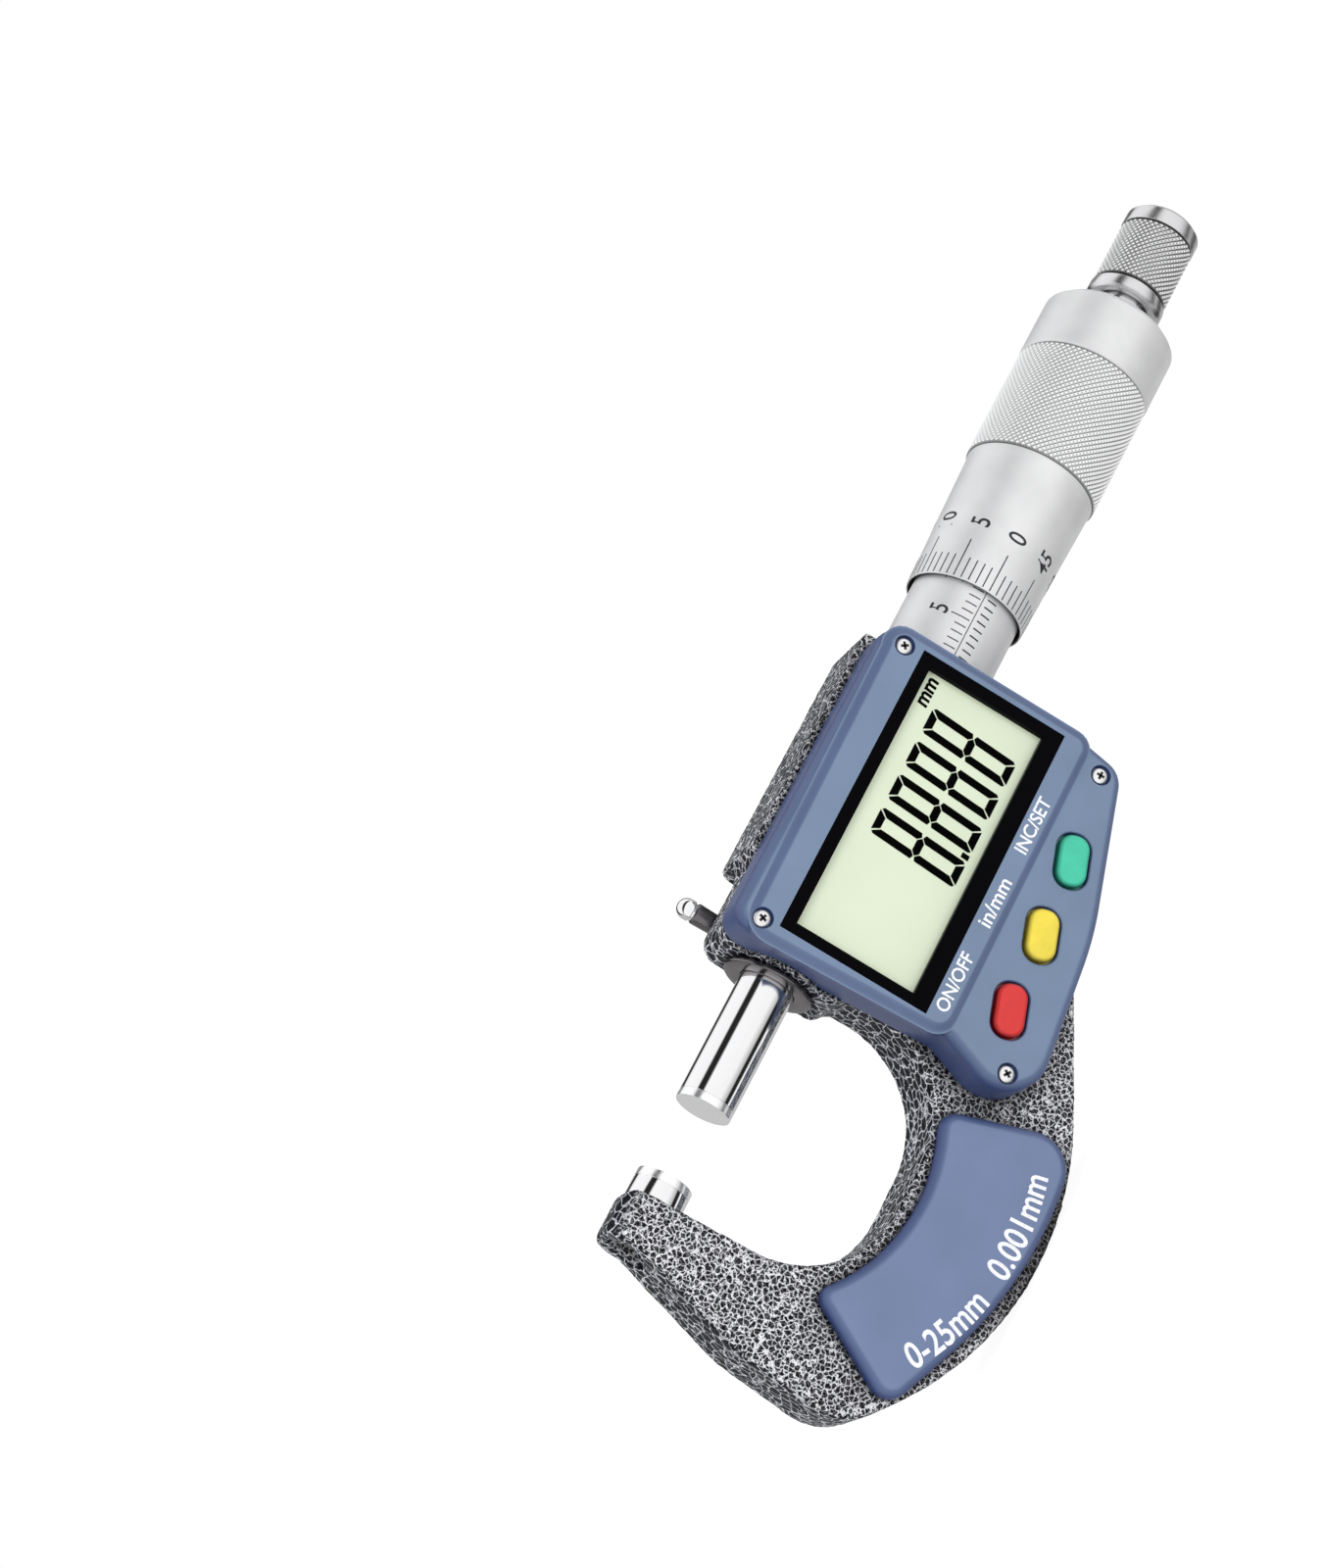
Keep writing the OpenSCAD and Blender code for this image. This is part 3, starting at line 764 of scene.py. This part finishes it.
def sleeve():
    low, high = box("graduated_sleeve")
    bore = 5.95
    profile = soft([(low.x, bore), (low.x, SLEEVE_R), (high.x, SLEEVE_R), (high.x, bore)], 0.08, loop=True)
    tube = turned(profile, segments=128, loop=True)
    piece(("scale_sleeve", tube), "frame", CHROME_SATIN, ("graduated_sleeve",))


def knurl_rows(x0, x1, r, depth, count):
    """Profile points of a diamond knurl: two crossing sets of grooves."""
    pitch = 2 * math.pi * r / count
    rows = round((x1 - x0) / pitch * 4)

    def radius(row):
        fade = min(1.0, row / 2, (rows - row) / 2)

        def at(i):
            groove = [abs((i + s * row) / 4 % 1 - 0.5) * 2 for s in (1, -1)]
            return r - depth * (1 - fade * min(1.0, 1.35 * (1 - max(groove))))
        return at

    return [(x0 + (x1 - x0) * row / rows, radius(row)) for row in range(rows + 1)]


KNURL_DEPTH = 0.24
THIMBLE_TEETH = 72
KNOB_TEETH = 40
KNURL_X = (RIM_X + 18.5, RIM_X + 33.7)


def thimble():
    """Thimble in three pieces that are one part: cone, knurled band and plain end, and a black ring inside
    its mouth that is painted shade for the gap there."""
    bore = SLEEVE_R + 0.5
    cone_end = RIM_X + CONE_L
    cone = [(RIM_X, bore), (RIM_X, RIM_R), (cone_end, THIMBLE_R - 0.4), (cone_end + 0.35, THIMBLE_R - 0.36),
            (KNURL_X[0], THIMBLE_R - KNURL_DEPTH - 0.04), (KNURL_X[0], bore)]
    cone = turned(soft(cone, 0.12, loop=True), segments=128, loop=True)
    piece(("thimble_cone", cone), "spindle", CHROME_SATIN, ("thimble",))
    # black ring inside the rim: painted shade for the gap at the mouth
    mouth = RIM_X + 0.03
    mouth_shade = [(mouth, bore - 0.1), (mouth, bore + 0.02), (cone_end, bore + 0.02), (cone_end, bore - 0.1)]
    piece(("thimble_mouth_shade", turned(mouth_shade, loop=True)), "spindle", PAINTED_SHADE_BLACK)

    rows = knurl_rows(*KNURL_X, THIMBLE_R, KNURL_DEPTH, THIMBLE_TEETH)
    band = turned([(KNURL_X[0], bore)] + rows + [(KNURL_X[1], bore)], segments=4 * THIMBLE_TEETH, loop=True)
    metal = knurled_metal("knurl_satin", (1.0, 1.0, 1.0), THIMBLE_R, KNURL_DEPTH, 0.15, 0.1)
    piece(("thimble_knurl", band), "spindle", metal)

    end_bore = THIMBLE_END - END_WALL
    hole_r = 2.52
    plain = [(KNURL_X[1], bore), (KNURL_X[1], THIMBLE_R - 0.2), (KNURL_X[1] + 0.3, THIMBLE_R),
             (THIMBLE_END - 0.8, THIMBLE_R), (THIMBLE_END, THIMBLE_R - 0.8), (THIMBLE_END, hole_r),
             (end_bore, hole_r), (end_bore, bore)]
    plain = turned(soft(plain, 0.15, loop=True), segments=128, loop=True)
    piece(("thimble_end", plain), "spindle", CHROME_SATIN)


def ratchet():
    """Ratchet knob with its polished flange, and the polished end cap."""
    x0, x1 = KNOB_LOW.x, KNOB_HIGH.x
    r = CAP_HIGH.z
    bore = 4.05
    hub_r = 2.65
    band_x = x0 + 2.1
    flange = soft([(x0, hub_r), (x0, r - 0.3), (x0 + 0.4, r + 0.1), (x0 + 1.7, r + 0.1), (x0 + 1.7, r - 0.35),
                   (band_x, r - 0.35), (band_x, bore), (x0 + 1.4, bore), (x0 + 1.4, hub_r)], 0.1, loop=True)
    flange = turned(flange, loop=True)
    piece(("ratchet_flange", flange), "ratchet", RATCHET, ("ratchet_knob",))
    rows = knurl_rows(band_x, x1, r, KNURL_DEPTH, KNOB_TEETH)
    band = turned([(band_x, bore)] + rows + [(x1, bore)], segments=4 * KNOB_TEETH, loop=True)
    metal = knurled_metal("knurl_steel", (0.95, 0.95, 0.95), r, KNURL_DEPTH, 0.02, 0.5)
    piece(("ratchet_knurl", band), "ratchet", metal)

    lip = x1 + 0.05
    start, end = CAP_LOW.x, CAP_HIGH.x
    cap = soft([(start, 3.4), (start, 4), (lip, 4), (lip, r), (end - 0.6, r), (end, r - 0.6), (end, 3.4),
                (end - 0.15, 3.2), (end - 0.15, 2.4)], 0.14)
    piece(("ratchet_cap", turned(cap)), "ratchet", RATCHET, ("ratchet_end_cap",))


# ---- lock lever ----


def lock_lever():
    """Lever: a domed hub on the shaft, and a pin with a rounded bright end."""
    low, high = box("lock_lever")
    arm_r = 1.25
    arm_y = 5.8
    shaft = about_y(LOCK.x, LOCK.z)

    def upright(s, r, a):
        return Vector((LOCK.x + r * math.cos(a), arm_y + r * math.sin(a), s))

    hub = soft([(low.y, 1.42), (low.y, 2.55), (high.y - 0.3, 2.6), (high.y, 2.1), (high.y, 1.42)], 0.25,
               loop=True)
    neck = high.z - 2.1
    arm = soft([(LOCK.z + 2.0, arm_r * 0.94), (neck - 0.2, arm_r), (neck, arm_r * 0.9), (neck, 0.4)], 0.1)
    obj = to_object("lever_arm", turned(arm, upright, 48))
    combine(obj, turned(hub, shaft, 64, loop=True), "UNION")
    piece(obj, "lock", DARK, ("lock_lever",))
    tip = [(neck, 0.4), (neck, arm_r * 0.86), (neck + 0.2, arm_r * 0.86), (neck + 0.3, arm_r)]
    tip += [(high.z - arm_r + arm_r * math.sin(t), arm_r * math.cos(t)) for t in
            [math.pi / 2 * k / 8 for k in range(8)]]
    piece(("lever_tip", turned(tip, upright, 48)), "lock", CHROME)

    low, high = box("lock_lever_screw")
    head = soft([(low.y, 0.5), (high.y - 0.6, 0.5), (high.y - 0.6, 1.2), (high.y, 1.05), (high.y, 0.5)], 0.12)
    screw = to_object("lever_screw", turned(head, shaft, 48))
    combine(screw, block((LOCK.x - 2, high.y - 0.3, LOCK.z - 0.15), (LOCK.x + 2, high.y + 1, LOCK.z + 0.15)))
    piece(screw, "lock", NICKEL, ("lock_lever_screw",))


# ---- display ----

BUTTON_L = 6.0
BUTTON_W = 3.6
BUTTON_CORNER = 1.6
BUTTON_GAP = 0.24                            # clearance round a button in its opening
BUTTON_LEAN = math.radians(17)
BUTTON_NODES = ("power_button", "units_button", "set_button")


def button_bar(node, wider, rounder, profile):
    """Rings of a button's outline, made wider and rounder, at the profile's layers."""
    centre = middle(node)
    return rounded_bar((centre.x + 0.15, centre.z + 0.2), BUTTON_L + 2 * wider, BUTTON_W + 2 * wider,
                       BUTTON_CORNER + rounder, BUTTON_LEAN, profile)


def housing():
    """Housing: a shoulder that follows the outline, and the raised panel round the display."""
    rim = quarter_round(1.3, LOBE_Y + 1.5, LOBE_Y, 8)
    base = [(0.0, FACE_Y), (0.0, FACE_Y - 0.2)] + rim + [(2.0, LOBE_Y)]
    obj = to_object("display_case", skin(layers(HOUSING, base)))
    foot = LOBE_Y + 0.05
    slope = 1.3
    steps = [k / 10 for k in range(11)]
    rise = [(slope * (t - 1), foot - (foot - FRONT_Y) * t * t * (3 - 2 * t)) for t in steps]
    panel = [(-slope, LOBE_Y + 1)] + rise + [(0.4, FRONT_Y)]
    combine(obj, skin(layers(PANEL, panel)), "UNION")
    wall = 1.25
    combine(obj, skin(layers(HOUSING, [(wall, FACE_Y + 1), (wall, LOBE_Y + 1)])))
    for x, z, seat in SCREWS:
        combine(obj, pin(x, z, seat + 0.9, FACE_Y, 1.5, 32), "UNION")
        well = soft([(FRONT_Y - 1, 1.45), (seat - 0.02, 1.2), (seat + 0.8, 1.14), (seat + 0.8, 0.8)], 0.06)
        combine(obj, turned(well, about_y(x, z), 48))
    nose_room = rod(box("nose_bush")[0].x - 2, 41, 6.25)
    sleeve_room = rod(62, 67, 5.3)
    gap = 0.05
    window = block((LENS_LOW.x - gap, FRONT_Y - 1, LENS_LOW.z - gap),
                   (LENS_HIGH.x + gap, FACE_Y + 1, LENS_HIGH.z + gap))
    for cutter in (nose_room, sleeve_room, window):
        combine(obj, cutter)
    opening = [(-0.2, LOBE_Y - 1), (-0.2, LOBE_Y - 0.02), (-0.05, LOBE_Y + 0.1), (0.0, LOBE_Y + 0.3),
               (0.0, LOBE_Y + 3)]
    for node in BUTTON_NODES:
        combine(obj, skin(button_bar(node, BUTTON_GAP, BUTTON_GAP, opening)))
    piece(obj, "frame", BLUE, ("display_housing",))


def bezel():
    """Black border of the display, with a sloped inner edge down to the glass."""
    edge = (LENS_LOW.x, LENS_LOW.z, LENS_HIGH.x, LENS_HIGH.z)
    window = (LENS_LOW.x + 1.3, LENS_LOW.z + 2.1, LENS_HIGH.x - 1.4, LENS_HIGH.z - 1.5)

    def ring(sides, inward, y):
        x0, z0, x1, z1 = sides[0] + inward, sides[1] + inward, sides[2] - inward, sides[3] - inward
        return [Vector((x, y, z)) for x, z in ((x0, z0), (x1, z0), (x1, z1), (x0, z1))]

    rings = [
        ring(edge, 0, LENS_HIGH.y), ring(edge, 0, FRONT_Y + 0.05), ring(edge, 0.06, FRONT_Y),
        ring(window, -0.12, FRONT_Y), ring(window, 0, FRONT_Y + 0.1), ring(window, 0, LENS_HIGH.y),
    ]
    piece(("lens_border", skin(rings, loop=True)), "frame", BLACK, ("display_lens",))


def slab(points, y0, y1):
    """A flat prism from x, z points."""
    return skin([[Vector((x, y, z)) for x, z in points] for y in (y0, y1)])


def digits():
    """The reading: four slanted seven-segment digits with a decimal point."""
    height, width, thick, gap = 10.25, 2.4, 0.93, 0.08
    first, pitch = 42.62, 4.47
    chamfer = 0.32
    slant = math.tan(math.radians(3.3))
    base_z = LENS_LOW.z + 3.68
    half = height / 2
    t = thick / 2

    def stroke(x0, points):
        return slab([(x0 + u + v * slant, base_z + v) for u, v in points], LCD_Y - 0.03, LCD_Y + 0.05)

    def flipped(points):
        return [(u, height - v) for u, v in points]

    foot = [(chamfer - t + gap, -t), (width + t - chamfer - gap, -t), (width - t - gap, t), (t + gap, t)]
    waist = [(gap, half), (t + gap, half - t), (width - t - gap, half - t), (width - gap, half),
             (width - t - gap, half + t), (t + gap, half + t)]
    post = [(-t, chamfer - t + gap), (chamfer - t - gap, gap - t + 0.06), (t, t + gap + 0.04),
            (t, half - t - gap), (0, half - gap), (-t, half - gap - 0.2)]
    strokes = [foot, waist, flipped(foot)]
    for side in (post, [(width - u, v) for u, v in post]):
        strokes += [side, flipped(side)]
    parts = [stroke(first + pitch * k, points) for k in range(4) for points in strokes]
    dot_x, dot_end = width + 0.72, width + 1.36
    parts.append(stroke(first, [(dot_x, -t), (dot_end, -t), (dot_end, t), (dot_x, t)]))
    piece(("lcd_digits", join(parts)), "frame", SEGMENTS)


FONT_SIZE = 10
CAP_HEIGHT = 7.29              # height of a capital of the built-in font at that size
INK_LIFT = 0.015               # how far print stands proud of its surface


def letters(body, height, place, spread, weight, shear=0.0):
    """Text as a mesh, centred on u = v = 0; place(u, v, w) puts each of its points."""
    curve = bpy.data.curves.new("letters", "FONT")
    curve.body = body
    curve.size = FONT_SIZE
    curve.offset = weight
    curve.shear = shear
    curve.extrude = 0.5
    curve.resolution_u = 6
    obj = add_object("letters", curve)
    bpy.context.view_layer.update()
    mesh = evaluated_mesh(obj)
    bpy.data.objects.remove(obj)
    bm = bmesh.new()
    bm.from_mesh(mesh)
    bpy.data.meshes.remove(mesh)
    xs = [v.co.x for v in bm.verts]
    mid_x = (min(xs) + max(xs)) / 2
    scale = height / CAP_HEIGHT
    for v in bm.verts:
        u, up = (v.co.x - mid_x) * scale * spread, (v.co.y - CAP_HEIGHT / 2) * scale
        v.co = place(u, up, (v.co.z + 0.5) * 2 * INK_LIFT)
    return bm


def on_plane(x, z, y):
    return lambda u, v, w: Vector((x + u, y - w, z + v))


def legends():
    """Words over the buttons, printed on the panel."""
    words = [("ON/OFF", 32.4, 1.6, 0.92), ("in/mm", 42.85, 1.72, 1.04), ("INC/SET", 53.1, 1.6, 0.92)]
    parts = [letters(w, size, on_plane(x, -16.05, FRONT_Y), spread, 0.14) for w, x, size, spread in words]
    piece(("button_legends", join(parts)), "frame", PRINT)
    unit = letters("mm", 1.75, on_plane(60.68, 1.25, LCD_Y), 0.98, 0.3, 0.1)
    piece(("lcd_unit", unit), "frame", SEGMENTS)


def grip_print():
    """Range and resolution, bent round the throat on the front grip."""
    centre = Vector((12.2, -3.2))
    radius = 32.3
    face = box("front_grip_plate")[0].y

    def bent(degrees):
        def place(u, v, w):
            a = math.radians(degrees) + u / radius
            reach = radius - v
            return Vector((centre.x + reach * math.cos(a), face - w, centre.y + reach * math.sin(a)))
        return place

    parts = [letters(words, 2.9, bent(degrees), 0.83, 0.16) for words, degrees in
             (("0-25mm", 247.5), ("0.001mm", 273))]
    piece(("grip_print", join(parts)), "frame", PRINT)


def buttons():
    colors = {"red": (0.64, 0.01, 0.008), "yellow": (0.81, 0.65, 0.045), "green": (0.035, 0.53, 0.34)}
    for node, (name, color) in zip(BUTTON_NODES, colors.items()):
        low, high = box(node)
        flange = high.y - 0.35
        cap = [(0.0, flange), (0.0, low.y + 0.75)]
        cap += quarter_round(0.55, low.y + 0.55, low.y, 6) + [(0.9, low.y - 0.02)]
        rings = button_bar(node, 0.55, 0.4, [(0.0, high.y), (0.0, flange)]) + button_bar(node, 0, 0, cap)
        finish = button_plastic(node + "_plastic", color)
        piece((node + "_cap", skin(rings)), node, finish, (node,))


def screws():
    """Pan-head screws with a cross recess, and a black insert at its floor that is painted shade."""
    head_r = 0.97
    shank_r = 0.7
    parts = []
    recesses = []
    for number, (x, z, seat) in enumerate(SCREWS):
        top = seat + 0.05
        dome = [(top + 0.3 * (1 - math.cos(t)), head_r * math.sin(t)) for t in
                [math.pi / 2 * k / 8 for k in range(8, 0, -1)]]
        shank = [(seat + 8.2, 0.5), (seat + 8.0, shank_r), (seat + 0.8, shank_r), (seat + 0.8, head_r)]
        screw = to_object("screw", turned(shank + dome, about_y(x, z), 48))
        lean = math.radians(20 + 35 * number)
        for turn in (lean, lean + math.pi / 2):
            move = Matrix.Translation((x, top, z)) @ Matrix.Rotation(turn, 4, "Y")
            bar = block((-0.48, -0.5, -0.16), (0.48, 0.5, 0.16))
            # black insert at the floor of the recess: painted shade
            recess_shade_bar = block((-0.44, 0.1, -0.15), (0.44, 0.44, 0.15))
            for bm in (bar, recess_shade_bar):
                bmesh.ops.transform(bm, matrix=move, verts=bm.verts)
            combine(screw, bar)
            recesses.append(recess_shade_bar)
        bm = bmesh.new()
        bm.from_mesh(screw.data)
        bpy.data.objects.remove(screw)
        parts.append(bm)
    piece(("case_screws", join(parts)), "frame", NICKEL, ("housing_screws",))
    piece(("screw_recess_shade", join(recesses)), "frame", PAINTED_SHADE_BLACK)


def battery_cap():
    """Coin-slot cap over the battery, with a ribbed rim."""
    low, high = box("battery_cap")
    ribs = 60

    def rim(i):
        return 7.0 - (0.12 if i % 4 == 0 else 0.0)

    profile = [(low.y, 6.6), (low.y, 7.2), (low.y + 0.15, 7.3), (BACK_Y - 0.1, 7.3), (BACK_Y, 7.25),
               (BACK_Y, rim), (high.y - 0.15, rim), (high.y - 0.02, 6.75), (high.y, 6.5), (high.y, 6.0)]
    obj = to_object("coin_cap", turned(profile, about_y(BATTERY.x, BATTERY.z), 4 * ribs))
    slot = [(0, high.y - 1.0), (0, high.y - 0.1), (-0.1, high.y + 1)]
    combine(obj, skin(rounded_bar((BATTERY.x, BATTERY.z), 9.2, 1.5, 0.7, 0, slot)))
    piece(obj, "battery_cap", GASKET, ("battery_cap",))


# ---- scales ----


def strip(x0, x1, a0, a1, radius):
    """A thin inked strip on a turned surface; radius(x) is the surface's radius."""
    steps = max(1, round(abs(a1 - a0) / math.radians(4)))
    corners = ((x0, -INK_LIFT), (x1, -INK_LIFT), (x1, INK_LIFT), (x0, INK_LIFT))
    angles = [a0 + (a1 - a0) * k / steps for k in range(steps + 1)]
    return skin([[about_x(x, radius(x) + h, a) for x, h in corners] for a in angles])


def on_turned(x, angle, radius):
    """Places letters on a turned surface, reading along +X with their tops towards +Z."""
    def place(u, v, w):
        r = radius(x + u)
        return about_x(x + u, r - INK_LIFT + w, angle + v / r)
    return place


def sleeve_scale():
    """Index line, millimetre lines above it, half-millimetre lines below it, and numbers."""
    line = 0.07
    half_line = 0.095

    def surface(x):
        return SLEEVE_R

    def angle(distance):
        return INDEX_ANGLE + distance / SLEEVE_R

    low, high = box("graduated_sleeve")
    parts = [strip(low.x, high.x - 2, angle(-0.05), angle(0.05), surface)]
    for k in range(26):
        x = ZERO_X + k
        fifth = k % 5 == 0
        parts.append(strip(x - line, x + line, angle(0.3), angle(2.6 if fifth else 1.75), surface))
        if k < 25:
            half = x + 0.5
            parts.append(strip(half - half_line, half + half_line, angle(-0.5), angle(-1.75), surface))
        if fifth:
            parts.append(letters(str(k), 2.3, on_turned(x, angle(4.2), surface), 0.8, 0.08))
    piece(("sleeve_scale", join(parts)), "frame", INK)


def thimble_scale():
    """Fifty lines round the bevel, with a longer line and a number at every fifth."""
    slope = (THIMBLE_R - 0.4 - RIM_R) / CONE_L
    half = 0.07 / RIM_R

    def surface(x):
        return RIM_R + (x - RIM_X) * slope

    parts = []
    for k in range(50):
        a = INDEX_ANGLE + 2 * math.pi * k / 50
        fifth = k % 5 == 0
        parts.append(strip(RIM_X + 0.2, RIM_X + (5.2 if fifth else 2.9), a - half, a + half, surface))
        if fifth:
            parts.append(letters(str(k), 2.4, on_turned(RIM_X + 7.7, a, surface), 0.8, 0.08))
    piece(("thimble_scale", join(parts)), "spindle", INK)


# ---- parts that keep their CAD shape ----


def dress_cad_nodes():
    groups = (
        (STEEL_PLAIN, ("inner_sleeve", "adjusting_nut", "rotor_key", "ratchet_screw", "ratchet_spring",
                       "click_plate", "lock_shaft")),
        (BRASS, ("rotor_hub", "rotor_washer", "battery_contact")),
        (board_green(), ("encoder_stator", "encoder_rotor", "circuit_board")),
        (CHROME, ("ratchet_hub",)), (LCD, ("lcd_panel",)), (zebra(), ("lcd_connector",)),
        (RUBBER, ("keypad_membrane",)), (GASKET, ("battery_holder",)), (CELL, ("battery_cell",)),
    )
    for material, names in groups:
        for name in names:
            mesh = frame["nodes"][name].data
            mesh.materials.clear()
            mesh.materials.append(material)


# ---- studio ----


def world():
    """White for the camera; mirror-like parts see a white tent with dark slots round the axis."""
    scene_world = bpy.data.worlds.new("studio")
    bpy.context.scene.world = scene_world
    scene_world.use_nodes = True
    tree = scene_world.node_tree
    tree.nodes.clear()

    def node(kind, inputs=(), **settings):
        return add_node(tree, kind, inputs, **settings)

    coords = node("TexCoord")
    split = node("SeparateXYZ", {0: coords.outputs["Generated"]})
    front = node("Math", {0: split.outputs["Y"], 1: -1}, operation="MULTIPLY")
    angle = node("Math", {0: split.outputs["Z"], 1: front.outputs[0]}, operation="ARCTAN2")
    turn = node("MapRange", {"From Min": -math.pi, "From Max": math.pi, "Value": angle.outputs[0]})
    # brightness at each angle in degrees, from straight ahead towards +Z
    stops = [
        (-180, 0.55), (-116, 0.6), (-112, 0.02), (-86, 0.02), (-82, 1.0), (-73, 1.0), (-71, 0.02),
        (-56, 0.02), (-52, 0.55), (-30, 1.05), (36, 1.1), (42, 0.02), (62, 0.02), (68, 1.05), (120, 1.1),
        (134, 0.9), (139, 0.03), (158, 0.03), (162, 0.6), (180, 0.55),
    ]
    slots = ramp_node(tree, turn.outputs[0], [((degrees + 180) / 360, value) for degrees, value in stops])
    path = node("LightPath")
    tent = node("Background", {"Color": slots, "Strength": 1.0})
    fill = node("Background", {"Color": (0.96, 0.98, 1.0, 1), "Strength": 0.55})
    white = node("Background", {"Color": (1, 1, 1, 1), "Strength": 1.0})
    seen = node("MixShader", {
        0: path.outputs["Is Glossy Ray"], 1: fill.outputs[0], 2: tent.outputs[0]})
    shown = node("MixShader", {
        0: path.outputs["Is Camera Ray"], 1: seen.outputs[0], 2: white.outputs[0]})
    node("OutputWorld", {"Surface": shown.outputs[0]})


def area_light(name, place, aim, size, watts):
    light = bpy.data.lights.new(name, "AREA")
    light.shape = "DISK"
    light.size = size
    light.energy = watts
    obj = add_object(name, light)
    obj.location = Vector(place) * MM
    obj.rotation_euler = (Vector(aim) * MM - obj.location).to_track_quat("-Z", "Y").to_euler()
    obj.visible_glossy = False


def floor():
    """Pale floor that keeps only a faint shadow."""
    low = cad_box[0].z - 0.2 * MM
    reach = 1.5
    mesh = bpy.data.meshes.new("floor")
    corners = ((-reach, -reach), (reach, -reach), (reach, reach), (-reach, reach))
    mesh.from_pydata([(x, y, low) for x, y in corners], [], [(0, 1, 2, 3)])
    mat = bpy.data.materials.new("floor_white")
    mat.use_nodes = True
    tree = mat.node_tree
    tree.nodes.clear()
    diffuse = add_node(tree, "BsdfDiffuse", {"Color": (0.95, 0.95, 0.95, 1)})
    glow = add_node(tree, "Emission", {"Strength": 1.1})
    mix = add_node(tree, "MixShader", {0: 0.86, 1: diffuse.outputs[0], 2: glow.outputs[0]})
    add_node(tree, "OutputMaterial", {"Surface": mix.outputs[0]})
    mesh.materials.append(mat)
    obj = add_object("floor", mesh)
    obj.visible_glossy = False


def camera():
    """Camera in front of the display, to the anvil's side, and rolled so that the spindle
    axis climbs to the upper right."""
    azimuth, elevation, roll = (math.radians(a) for a in (-22.16, 5.58, -58.87))
    aim = Vector((38.98, 0, 20.91)) * MM
    distance = 382 * MM
    back = Vector((math.sin(azimuth) * math.cos(elevation), -math.cos(azimuth) * math.cos(elevation),
                   math.sin(elevation)))
    right = (-back).cross(Vector((0, 0, 1))).normalized()
    up = right.cross(-back)
    right, up = (math.cos(roll) * right + math.sin(roll) * up,
                 math.cos(roll) * up - math.sin(roll) * right)
    data = bpy.data.cameras.new("camera")
    data.lens = 79.5
    data.sensor_width = 36
    data.clip_start = 0.01
    obj = add_object("camera", data)
    turn = Matrix((right, up, back)).transposed().to_4x4()
    obj.matrix_world = Matrix.Translation(aim + back * distance) @ turn
    bpy.context.scene.camera = obj


def studio():
    world()
    area_light("key", (-120, -420, 380), (40, 0, -10), 0.32, 1.3)
    area_light("front_fill", (160, -520, 40), (60, 0, -5), 0.4, 0.5)
    area_light("rim", (60, 330, 260), (60, 0, 0), 0.3, 0.9)
    floor()
    camera()
    bpy.context.scene.view_settings.view_transform = "Standard"


cast_frame()
grip("front_grip_plate", FACE_Y, box("front_grip_plate")[0].y)
grip("rear_grip_plate", BACK_Y, box("rear_grip_plate")[1].y)
anvil()
spindle()
nose_collar()
sleeve()
thimble()
ratchet()
lock_lever()
housing()
bezel()
digits()
legends()
grip_print()
buttons()
screws()
battery_cap()
sleeve_scale()
thimble_scale()
dress_cad_nodes()
studio()
